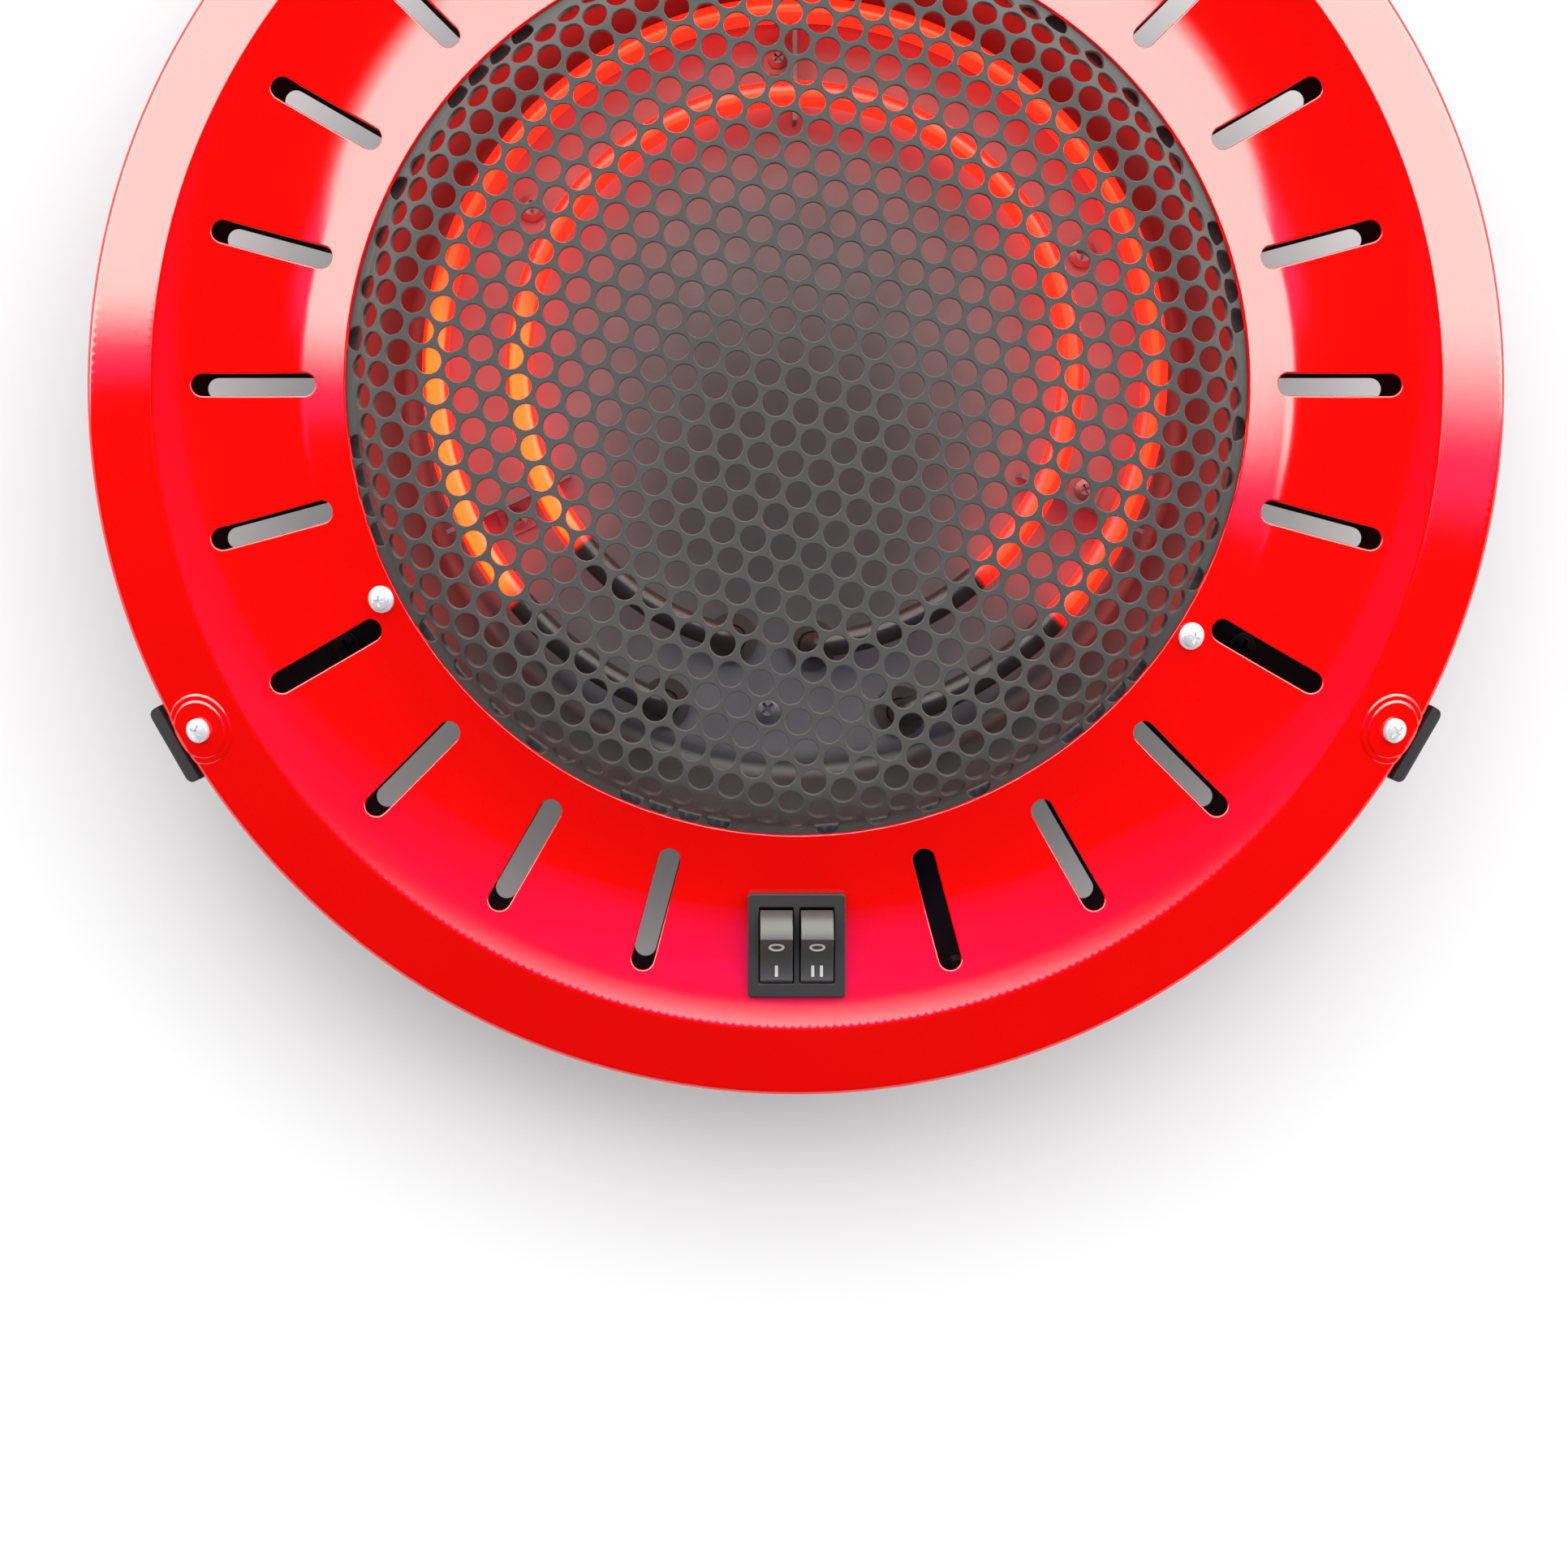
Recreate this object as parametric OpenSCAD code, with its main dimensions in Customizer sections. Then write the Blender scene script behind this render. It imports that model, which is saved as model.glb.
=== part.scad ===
// Electric brazier: a dished ring plate on three feet, a perforated grille over two ring
// heaters, a reflector, a slotted base pan and a double rocker switch.
// The origin is on the plate's axis at floor level, +Z is up and the switch is at -Y.

/* [Ring plate] */
// Distance from the reflector's floor out to the opening for the grille
opening_out = 16; // [15.5:0.1:17]
// Thickness of the plate's sheet
plate_t = 0.8; // [0.6:0.1:1.2]
// Height of the lowest line of the dished ring
dish_low_z = 68; // [66:1:76]
// Distance of that lowest line from the opening
dish_in_w = 28; // [27:0.5:29]
// Slope of the flat band that carries the grille's flange
band_tilt = 20; // [16:1:24]
// Width of that band, seen from above
band_w = 10; // [9:0.5:11]
// Distance from the lowest line to the place where the dish starts to curl up
dish_out_w = 18; // [17:0.5:19]
// Distance from there to the rolled rim
rim_w = 25; // [23:0.5:29]
// Slope of the dish at that radius
dish_tilt = 8; // [6:0.5:10]
// Radius of the curl below the ridge
curl_bend_r = 10.6; // [9:0.2:12]
// Steepest slope of the curl
curl_tilt = 28; // [24:1:32]
// Radius of the ridge itself
ridge_bend_r = 1.5; // [1.2:0.1:2.5]
// Slope of the outer flange
flange_tilt = 25; // [20:1:28]
// Radius of the rolled rim
roll_r = 3; // [2.4:0.2:4]
// Height of the short skirt below the rolled rim
skirt_h = 3; // [2:0.5:5]

/* [Air slots] */
// Positions round the dish, the switch's and the feet's counted
slot_count = 24; // [24]
// Distance of the slots' inner ends from the opening
slot_in_w = 8.3; // [8.3:0.1:10]
// Length of a slot
slot_l = 33.2; // [30:0.2:34]
// Width of a slot
slot_w = 5.9; // [4.5:0.1:7]

/* [Grille] */
// Thickness of the perforated sheet
grille_t = 1; // [0.8:0.1:1.4]
// Distance from its flat perforated middle out to the opening
grille_edge_w = 17.2; // [16.2:0.2:19]
// Radius of the shoulder round the middle
shoulder_bend_r = 12.2; // [10:0.2:13]
// Slope of the wall below the shoulder
grille_wall_tilt = 62; // [57:1:64]
// Radius of the bend from the wall to the flange
grille_root_r = 2; // [1.5:0.1:2.5]
// Width of the flange below the plate's band, from the opening
grille_flange_w = 7.6; // [7.2:0.1:7.8]
// Distance between neighbouring holes
hole_pitch = 8.2; // [8:0.1:11]
// Diameter of a hole
hole_d = 6.7; // [4:0.1:7.2]
// Turn of the hole pattern
lattice_turn = -16; // [-30:1:30]
// Distance of the grille screws from the opening
grille_screw_w = 4.3; // [4:0.1:4.4]
// Angle of the first grille screw
grille_screw_turn = 87.4; // [80:0.2:95]

/* [Reflector] */
// Thickness of the reflector's sheet
reflector_t = 0.6; // [0.5:0.1:1]
// How far its flat floor reaches past the outer ring's centre line
reflector_floor_w = 0.3; // [0:0.1:1]
// Height of the top of that floor
reflector_floor_z = 37.6; // [35:0.2:39]
// Bend between floor and wall
reflector_bend_r = 5; // [4:0.5:6]
// Slope of the wall
reflector_wall_tilt = 72; // [71:0.5:76]
// Height of the turned-out edge
reflector_top_z = 68; // [64:0.5:69]
// Width of the turned-out edge
reflector_edge_w = 2.2; // [1.5:0.1:2.4]
// How far the reflector's screws stand outside the middle between the rings
reflector_screw_out = 1.65; // [1:0.05:2]
// Angle of the first reflector screw
reflector_screw_turn = -94.8; // [-97:0.2:-90]

/* [Heaters] */
// Diameter of the heater tubes
tube_d = 7.1; // [6:0.1:7.4]
// Height of their centre line
tube_z = 50; // [49:0.5:54]
// Centre-line radius of the inner ring
inner_ring_r = 75; // [73:0.5:77]
// Distance between the two rings' centre lines
ring_spacing = 22.7; // [22:0.1:23.5]
// How far the rings sit behind the plate's axis
ring_shift = 5; // [4:0.5:6]
// Direction of the gap between the inner ring's ends
inner_gap_dir = -94.7; // [-95.5:0.1:-93.5]
// Direction of the gap between the outer ring's ends
outer_gap_dir = -92; // [-93:0.5:-91]
// Half of the gap in the inner ring
inner_gap = 14.5; // [14:0.5:16]
// Half of the gap in the outer ring
outer_gap = 24; // [23:0.5:26]
// Bend of the tubes' ends, down through the reflector
elbow_r = 8; // [7:0.5:9]
// Length of tube below the reflector's floor
tube_tail = 7; // [6:0.5:8]
// Diameter of the ceramic bushes in the reflector's floor
bush_d = 11; // [10.4:0.2:11.4]
// Length of a heater's terminal pin
heater_pin_len = 8; // [6:0.5:9]

/* [Base pan] */
// Thickness of the pan's sheet
pan_t = 0.8; // [0.6:0.1:1.2]
// Height of the top of the slotted ring
pan_ring_z = 45; // [43:0.5:46]
// Distance of the pan's edge from the rim
pan_inset = 19; // [18:0.5:22]
// Height of the upturned edge
pan_edge_h = 5; // [3:0.5:8]
// Distance from the opening to the place where the ring turns down into the dish
pan_dish_w = 1; // [0:0.5:2]
// Width of the dish's wall, seen from above
pan_wall_w = 9; // [8:0.5:11]
// Height of the top of the pan's floor
pan_floor_z = 16; // [14:0.5:17]
// Distance from the pan's edge to the screws that hold it on the feet
pan_screw_inset = 30; // [27:0.5:32]

/* [Feet] */
// Width of a foot
foot_w = 22.5; // [20:0.5:26]
// How far a foot stands out past the rim
foot_reach = 4.8; // [3.5:0.1:5]
// Distance of the foot screws from the rim
foot_screw_inset = 6.8; // [6:0.2:8]
// Rounding of the outer corners
foot_corner_r = 2.2; // [1.5:0.1:4]
// Gap between the rim and the foot's lip
lip_gap = 0.9; // [0.6:0.1:1.2]
// Thickness of the foot's column
column_t = 12; // [10:0.5:14]
// Width of the arm below the pan
arm_w = 14; // [12:0.5:18]
// Depth of the arm
arm_h = 9; // [7:0.5:14]
// Radius of the upper step of the pad pressed in the flange
pad_r = 7.8; // [7:0.1:8.5]
// Width of the lower step of that pad
pad_step_w = 1.7; // [1.2:0.1:2]
// Height of each of the two steps
pad_step_h = 0.4; // [0.3:0.05:0.5]

/* [Switch] */
// Width of the bezel
bezel_w = 25.9; // [25.6:0.1:28]
// Length of the bezel, along Y
bezel_l = 27.4; // [26.8:0.1:29]
// Height of the bezel above its seat
bezel_h = 2.1; // [1.8:0.1:2.6]
// Distance of the switch's middle from the dish's lowest line
switch_out = 1.4; // [1:0.1:2]
// Width of a rocker
rocker_w = 8.6; // [8:0.1:8.8]
// Distance between the two rockers' middles
rocker_pitch = 10.74; // [10.6:0.02:10.9]
// Side clearance of a rocker
rocker_gap = 0.25; // [0.2:0.05:0.3]
// Length of a rocker's opening in the bezel
rocker_slot_l = 20; // [19.6:0.1:20.4]
// Radius of a rocker's rounded ends about its pivot
rocker_r = 11.2; // [11:0.05:11.3]
// Half angle between the two top corners of a rocker
rocker_corner = 33; // [31:0.5:34]
// Tilt of a rocker from its middle position, to each side
rocker_tilt = 22; // [18:0.5:22]
// Radius of the hollow in a rocker's face
rocker_face_r = 12; // [10.5:0.5:16]
// Radius of a rocker's pivot pins
rocker_pin_r = 1.2; // [1:0.1:1.4]
// Tilt of a contact lever from its middle position
lever_tilt = 8; // [5:0.5:8]
// Rise of the contact lever's two arms
lever_rise = 10; // [9:0.5:12]
// Length of a contact lever
lever_l = 11; // [9:0.5:12]
// Width of the terminal blades
blade_w = 4.8; // [4:0.1:6]
// Thickness of the terminal blades
blade_t = 0.8; // [0.6:0.1:1]
// Length of the blades below the housing
blade_len = 8; // [7:0.5:9]

/* [Wiring box] */
// Left edge of the box
box_left = -19; // [-21:0.5:-18]
// Right edge of the box
box_right = 50; // [48:0.5:51]
// Distance of its inner face from the opening
box_in_w = 3; // [2.8:0.2:4]
// Depth of the box
box_d = 41; // [40:0.5:42]
// Height of its underside
box_low_z = 12; // [8:0.5:13]
// Wall thickness of the box
box_wall = 2; // [1.6:0.1:2.4]
// Radius of the cord's passage through the gland
cord_r = 3.6; // [3:0.1:4]
// Distance of the gland from the box's right edge
gland_inset = 17; // [16:0.5:19]
// Height of the gland
gland_z = 26; // [25:0.5:27]

/* [Fit] */
// Gap between sheets that lie on each other
sheet_gap = 0.05; // [0.02:0.01:0.1]
// Radial clearance of a shaft in its bore
shaft_fit = 0.05; // [0.02:0.01:0.08]
// Radial clearance of a screw in a sheet's hole
hole_fit = 0.3; // [0.2:0.05:0.5]
// Gap left between pieces that don't touch
free_gap = 0.3; // [0.2:0.05:0.4]

/* [Hidden] */
$fn = 48;
ROUND = 144;

RED = [0.9, 0.02, 0.02];
BLACK = [0.1, 0.1, 0.11];
STEEL = [0.75, 0.76, 0.78];
ZINC = [0.85, 0.86, 0.88];
BRASS = [0.8, 0.62, 0.3];
CERAMIC = [0.93, 0.91, 0.85];

// Directions of the feet, of the switch and of the slot that lies over the wiring box
foot_dirs = [90, 210, 330];
switch_dir = 270;
box_slot_dir = 285;

// Radii, outwards from the heater rings to the rim
outer_ring_r = inner_ring_r + ring_spacing;
reflector_floor_r = outer_ring_r + ring_shift + reflector_floor_w;
reflector_screw_r = (inner_ring_r + outer_ring_r) / 2 + reflector_screw_out;
opening_r = reflector_floor_r + opening_out;
dish_low_r = opening_r + dish_in_w;
curl_start_r = dish_low_r + dish_out_w;
rim_r = curl_start_r + rim_w;
slot_start_r = opening_r + slot_in_w;
slot_end_r = slot_start_r + slot_l;
grille_flat_r = opening_r - grille_edge_w;
grille_flange_r = opening_r + grille_flange_w;
grille_screw_r = opening_r + grille_screw_w;
pan_r = rim_r - pan_inset;
pan_dish_r = opening_r + pan_dish_w;
pan_floor_r = pan_dish_r - pan_wall_w;
pan_screw_r = pan_r - pan_screw_inset;
foot_screw_r = rim_r - foot_screw_inset;
switch_r = dish_low_r + switch_out;
box_near = opening_r + box_in_w;
box_far = box_near + box_d;
gland_x = box_right - gland_inset;

// A sheet's path is a list of [radius, height, slope], where a positive slope falls outwards
function last(list) = list[len(list) - 1];
function run(p, len) = [p[0] + len * cos(p[2]), p[1] - len * sin(p[2]), p[2]];
function run_to(p, r) = run(p, (r - p[0]) / cos(p[2]));
function bend(p, radius, slope, steps) =
  let (side = sign(slope - p[2]))
  [for (i = [1:steps])
    let (s = p[2] + (slope - p[2]) * i / steps)
    [p[0] + side * radius * (sin(s) - sin(p[2])), p[1] + side * radius * (cos(s) - cos(p[2])), s]];
function lift(path, d) = [for (p = path) [p[0] + d * sin(p[2]), p[1] + d * cos(p[2])]];
function back(list) = [for (i = [len(list) - 1:-1:0]) list[i]];

// Solid sheet between two distances above and below its path
module sheet(path, up, down) {
  rotate_extrude($fn = ROUND) polygon(concat(lift(path, up), back(lift(path, -down))));
}

// The plate's path, from the opening to the edge of the skirt
band_end_r = opening_r + band_w;
dish_bend_r = (dish_low_r - band_end_r) / sin(band_tilt);
band_end_z = dish_low_z + dish_bend_r * (1 - cos(band_tilt));
band_start = [opening_r, band_end_z + band_w * tan(band_tilt), band_tilt];
band_end = [band_end_r, band_end_z, band_tilt];
dish_in = bend(band_end, dish_bend_r, 0, 5);
dish_out = bend(last(dish_in), (curl_start_r - dish_low_r) / sin(dish_tilt), -dish_tilt, 3);
curl = bend(last(dish_out), curl_bend_r, -curl_tilt, 3);
ridge = bend(last(curl), ridge_bend_r, flange_tilt, 4);
flange_end = run_to(last(ridge), rim_r - roll_r * (1 - sin(flange_tilt)));
roll = bend(flange_end, roll_r, 90, 4);
skirt_end = run(last(roll), skirt_h);
plate_path = concat([band_start, band_end], dish_in, dish_out, curl, ridge, [flange_end], roll,
                    [skirt_end]);

// Height of the flange's top and of the band's top at a radius
function flange_z(r) = flange_end[1] + (flange_end[0] - r) * tan(flange_tilt);
function band_z(r) = band_end_z + (band_end_r - r) * tan(band_tilt);

// The grille's path, inwards from its flange: the flange lies below the plate's band
grille_drop = plate_t + sheet_gap;
wall_foot = [opening_r - 1.8, band_z(opening_r - 1.8) - grille_drop / cos(band_tilt), band_tilt];
root_dr = grille_root_r * (sin(grille_wall_tilt) - sin(band_tilt));
root_dz = grille_root_r * (cos(band_tilt) - cos(grille_wall_tilt));
shoulder_dr = shoulder_bend_r * sin(grille_wall_tilt);
grille_wall_dr = wall_foot[0] - root_dr - shoulder_dr - grille_flat_r;
grille_top_z = wall_foot[1] + root_dz + grille_wall_dr * tan(grille_wall_tilt)
             + shoulder_bend_r * (1 - cos(grille_wall_tilt));
shoulder = bend([grille_flat_r, grille_top_z, 0], shoulder_bend_r, grille_wall_tilt, 5);
grille_wall_end = run(last(shoulder), grille_wall_dr / cos(grille_wall_tilt));
grille_path = concat([[0, grille_top_z, 0], [grille_flat_r, grille_top_z, 0]], shoulder,
                     [grille_wall_end], bend(grille_wall_end, grille_root_r, band_tilt, 3),
                     [run_to(wall_foot, grille_flange_r)]);

// The reflector's path, from its centre to the turned-out edge
reflector_bend = bend([reflector_floor_r, reflector_floor_z, 0], reflector_bend_r,
                      -reflector_wall_tilt, 5);
reflector_wall_end = run(last(reflector_bend),
                         (reflector_top_z - last(reflector_bend)[1]) / sin(reflector_wall_tilt));
reflector_edge_bend = bend(reflector_wall_end, 1, 0, 3);
reflector_path = concat([[0, reflector_floor_z, 0], [reflector_floor_r, reflector_floor_z, 0]],
                        reflector_bend, [reflector_wall_end], reflector_edge_bend,
                        [run(last(reflector_edge_bend), reflector_edge_w)]);

// The pan's path, from its centre to the upturned edge
pan_wall_tilt = atan2(pan_ring_z - pan_floor_z, pan_dish_r - pan_floor_r);
pan_path = [[0, pan_floor_z, 0], [pan_floor_r, pan_floor_z, -pan_wall_tilt / 2],
            [pan_dish_r, pan_ring_z, -pan_wall_tilt / 2], [pan_r - pan_t, pan_ring_z, -45],
            [pan_r - pan_t, pan_ring_z + pan_edge_h, -90]];

// Screws: shank radius, head radius and head height
small_screw = [1.5, 2.8, 1.8];
rim_screw = [1.75, 3.35, 2.3];
pan_screw = [2, 3.8, 2.6];
block_screw = [1, 1.7, 1.2];
NUT_H = 2.4;
NUT_R = 3.1;
grille_washer_r = 3.6;
washer_t = 0.9;

// Screw with its seat at the origin, its head above it and a cross in the head
module screw(size, len, washer_r = 0) {
  base = washer_r > 0 ? washer_t : 0;
  translate([0, 0, -len]) cylinder(h = len, r = size[0]);
  if (washer_r > 0) cylinder(h = washer_t, r = washer_r);
  difference() {
    translate([0, 0, base]) {
      cylinder(h = size[2] / 2, r = size[1]);
      translate([0, 0, size[2] / 2]) cylinder(h = size[2] / 2, r1 = size[1], r2 = size[1] * 0.55);
    }
    for (turn = [0, 90])
      rotate([0, 0, turn + 45]) translate([0, 0, base + size[2]])
        cube([size[1], size[1] * 0.22, size[2] * 1.1], center = true);
  }
}
module nut(shank_r) {
  difference() {
    cylinder(h = NUT_H, r = NUT_R, $fn = 6);
    translate([0, 0, -1]) cylinder(h = NUT_H + 2, r = shank_r + shaft_fit);
  }
}

// Places on the plate: the band's screws lean with the band, the rim's lean with the flange
module on_band(turn) {
  rotate([0, 0, turn]) translate([grille_screw_r, 0, band_z(grille_screw_r)])
    rotate([0, band_tilt, 0]) children();
}
module on_flange(turn) {
  rotate([0, 0, turn]) translate([foot_screw_r, 0, flange_z(foot_screw_r)])
    rotate([0, flange_tilt, 0]) children();
}
grille_screw_dirs = [for (i = [0:2]) grille_screw_turn + 120 * i];

// Slot outline, standing through a sheet
module slot_cut(turn, low, high) {
  rotate([0, 0, turn]) translate([0, 0, low]) linear_extrude(high - low) {
    translate([slot_start_r + slot_w / 2, -slot_w / 2])
      square([slot_end_r - slot_start_r - slot_w, slot_w]);
    for (r = [slot_start_r + slot_w / 2, slot_end_r - slot_w / 2])
      translate([r, 0]) circle(slot_w / 2, $fn = 24);
  }
}
slot_dirs = [for (i = [0:slot_count - 1]) let (a = i * 360 / slot_count) if (a != switch_dir) a];
pan_slot_dirs = [for (a = slot_dirs) if (a != box_slot_dir && len(search(a, foot_dirs)) == 0) a];

// Switch levels and sizes
bezel_seat_z = dish_low_z + dish_bend_r
             - sqrt(pow(dish_bend_r, 2) - pow(dish_low_r - switch_r + bezel_l / 2, 2));
bezel_top_z = bezel_seat_z + bezel_h;
bay_w = rocker_w + 2 * rocker_gap;
bay_half_l = rocker_r + free_gap;
divider_t = rocker_pitch - bay_w;
housing_wall = 2.28;
housing_w = 2 * bay_w + divider_t + 2 * housing_wall;
housing_l = 2 * bay_half_l + 1.6;
cutout_gap = 0.25;
pivot_z = bezel_top_z - sqrt(pow(rocker_r, 2) - pow(rocker_slot_l / 2 - free_gap, 2));
plunger_r = 1.15;
plunger_tip = 8.6;
sleeve_r = 2.2;
sleeve_end = 6;
lever_t = 0.8;
lever_pivot_z = pivot_z - plunger_tip - free_gap - lever_t;
chamber_floor_z = lever_pivot_z - 2;
housing_floor_t = 2;
housing_low_z = chamber_floor_z - housing_floor_t;
switched_y = 4.2;
bays = [-rocker_pitch / 2, rocker_pitch / 2];
blade_end_z = housing_low_z - blade_len;
module at_switch() translate([0, -switch_r, 0]) children();

module top_plate() color(RED) difference() {
  union() {
    sheet(plate_path, 0, plate_t);
    intersection() {
      for (turn = foot_dirs)
        on_flange(turn) translate([0, 0, -plate_t / 2]) {
          cylinder(h = plate_t / 2 + pad_step_h, r = pad_r + pad_step_w);
          cylinder(h = plate_t / 2 + 2 * pad_step_h, r = pad_r);
        }
      cylinder(h = grille_top_z, r = rim_r - roll_r / 2, $fn = ROUND);
    }
  }
  for (turn = foot_dirs)
    on_flange(turn) translate([0, 0, -3]) cylinder(h = 6, r = rim_screw[0] + hole_fit);
  for (turn = grille_screw_dirs)
    on_band(turn) translate([0, 0, -3]) cylinder(h = 6, r = small_screw[0] + hole_fit);
  for (turn = slot_dirs) slot_cut(turn, dish_low_z - 5, grille_top_z);
  at_switch() translate([0, 0, dish_low_z])
    cube([housing_w + 2 * cutout_gap, housing_l + 2 * cutout_gap, 20], center = true);
}

// Holes in rows, those that fit whole on the flat middle
module grille() color(BLACK) difference() {
  sheet(grille_path, 0, grille_t);
  rows = ceil(grille_flat_r / hole_pitch * 1.2);
  for (i = [-rows:rows], j = [-rows:rows])
    let (x = hole_pitch * (i + j / 2), y = hole_pitch * j * sin(60))
    if (norm([x, y]) < grille_flat_r - hole_d / 2)
      rotate([0, 0, lattice_turn]) translate([x, y, grille_top_z - 2 * grille_t])
        cylinder(h = 3 * grille_t, d = hole_d, $fn = 24);
  for (turn = grille_screw_dirs)
    on_band(turn) translate([0, 0, -6]) cylinder(h = 10, r = small_screw[0] + hole_fit);
}
clamp_t = plate_t + sheet_gap + grille_t;
module grille_screws() color(ZINC)
  for (turn = grille_screw_dirs) on_band(turn) screw(small_screw, 7, grille_washer_r);
module grille_nuts() color(ZINC)
  for (turn = grille_screw_dirs)
    on_band(turn) translate([0, 0, -clamp_t - sheet_gap - NUT_H]) nut(small_screw[0]);

// Reflector, its screws to the pan, and the three supports of the heater tubes
reflector_screw_dirs = [for (i = [0:2]) reflector_screw_turn + 120 * i];
module round_place(dirs, r, z) {
  for (turn = dirs) rotate([0, 0, turn]) translate([r, 0, z]) children();
}
reflector_low_z = reflector_floor_z - reflector_t;
pan_low_z = pan_floor_z - pan_t;
support_dirs = [90, 205, 335];
support_screw_r = (inner_ring_r + outer_ring_r) / 2;
support_t = 1.2;
support_foot_w = 9;
module at_supports() {
  translate([0, ring_shift, 0])
    for (turn = support_dirs) rotate([0, 0, turn]) translate([support_screw_r, 0, 0]) children();
}
module reflector() color(STEEL) difference() {
  sheet(reflector_path, 0, reflector_t);
  round_place(reflector_screw_dirs, reflector_screw_r, reflector_floor_z - 5)
    cylinder(h = 10, r = pan_screw[0] + hole_fit);
  at_supports() translate([0, support_foot_w / 2, reflector_floor_z - 5])
    cylinder(h = 10, r = small_screw[0] + hole_fit);
  heater_ends() translate([0, 0, reflector_floor_z - 5]) cylinder(h = 10, r = bush_d / 2 + 0.1);
}
module reflector_screws() color(ZINC)
  round_place(reflector_screw_dirs, reflector_screw_r, reflector_floor_z)
    screw(pan_screw, reflector_floor_z - pan_low_z + NUT_H + 1);
module reflector_spacers() color(STEEL)
  round_place(reflector_screw_dirs, reflector_screw_r, pan_floor_z)
    difference() {
      cylinder(h = reflector_low_z - pan_floor_z, r = pan_screw[0] + 2);
      translate([0, 0, -1])
        cylinder(h = reflector_floor_z - pan_floor_z + 2, r = pan_screw[0] + hole_fit);
    }
module reflector_nuts() color(ZINC)
  round_place(reflector_screw_dirs, reflector_screw_r, pan_low_z - NUT_H) nut(pan_screw[0]);

// Ring heaters: an open ring whose two ends bend down through the reflector; the bends are
// a little thinner, so that they start inside the ring and end inside the straight tails
module heater(ring_r, gap_dir, gap) {
  translate([0, ring_shift, tube_z]) {
    rotate([0, 0, gap_dir + gap]) rotate_extrude(angle = 360 - 2 * gap, $fn = ROUND)
      translate([ring_r, 0]) circle(d = tube_d);
    for (side = [-1, 1])
      rotate([0, 0, gap_dir + side * gap]) translate([ring_r, 0, -elbow_r]) {
        rotate([0, 0, side > 0 ? 180 : 0]) rotate([2, 0, 0]) rotate([0, -90, 0])
          rotate_extrude(angle = 94) translate([elbow_r, 0]) circle(d = tube_d - 0.2);
        translate([0, -side * elbow_r, tail_z - (tube_z - elbow_r)])
          cylinder(h = tube_z - elbow_r - tail_z, d = tube_d);
      }
  }
}
tail_z = reflector_low_z - tube_tail;
function heater_end(ring_r, gap_dir, gap, side) =
  let (a = gap_dir + side * gap)
  [ring_r * cos(a) + side * elbow_r * sin(a), ring_r * sin(a) - side * elbow_r * cos(a) + ring_shift];
inner_ends = [for (side = [-1, 1]) heater_end(inner_ring_r, inner_gap_dir, inner_gap, side)];
outer_ends = [for (side = [-1, 1]) heater_end(outer_ring_r, outer_gap_dir, outer_gap, side)];
module heater_ends() {
  for (p = concat(inner_ends, outer_ends)) translate(p) children();
}
module heater_inner() color([1, 0.35, 0.1]) heater(inner_ring_r, inner_gap_dir, inner_gap);
module heater_outer() color([1, 0.3, 0.1]) heater(outer_ring_r, outer_gap_dir, outer_gap);
bush_head_h = 2;
module heater_bushes() color(CERAMIC) heater_ends()
  difference() {
    union() {
      translate([0, 0, tail_z + 1]) cylinder(h = reflector_floor_z - tail_z, d = bush_d);
      translate([0, 0, reflector_floor_z + sheet_gap]) cylinder(h = bush_head_h, d = bush_d + 3);
    }
    translate([0, 0, tail_z - 1]) cylinder(h = 20, d = tube_d + 2 * hole_fit);
  }
module heater_pins() color(ZINC) heater_ends()
  translate([0, 0, tail_z - heater_pin_len]) cylinder(h = heater_pin_len, r = 1.3);

// Upright notched plate under both tubes, on a flat foot; its outer side follows the wall
module tube_supports() color(STEEL) at_supports() {
  reach = (outer_ring_r - inner_ring_r) / 2;
  wall_clear = 0.8;
  floor_end = reflector_floor_r - ring_shift - support_screw_r;
  wall_start = last(reflector_bend)[0] - ring_shift - support_screw_r - wall_clear;
  wall_start_z = last(reflector_bend)[1] + 1;
  difference() {
    translate([0, support_t / 2, 0]) rotate([90, 0, 0]) linear_extrude(support_t) polygon([
      [-reach - tube_d, reflector_floor_z], [floor_end - wall_clear, reflector_floor_z],
      [wall_start, wall_start_z],
      [wall_start + (tube_z - wall_start_z) / tan(reflector_wall_tilt), tube_z],
      [-reach - tube_d, tube_z]
    ]);
    for (x = [-reach, reach])
      translate([x, 0, tube_z]) rotate([90, 0, 0])
        cylinder(h = 10, d = tube_d + 2 * free_gap, center = true);
  }
  difference() {
    translate([-support_foot_w / 2, -support_t / 2, reflector_floor_z])
      cube([support_foot_w, support_foot_w, support_t]);
    translate([0, support_foot_w / 2, reflector_floor_z - 1])
      cylinder(h = 5, r = small_screw[0] + hole_fit);
  }
}
module support_screws() color(ZINC) at_supports()
  translate([0, support_foot_w / 2, reflector_floor_z + support_t])
    screw(small_screw, support_t + reflector_t + NUT_H + 1);
module support_nuts() color(ZINC) at_supports()
  translate([0, support_foot_w / 2, reflector_low_z - NUT_H]) nut(small_screw[0]);

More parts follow.
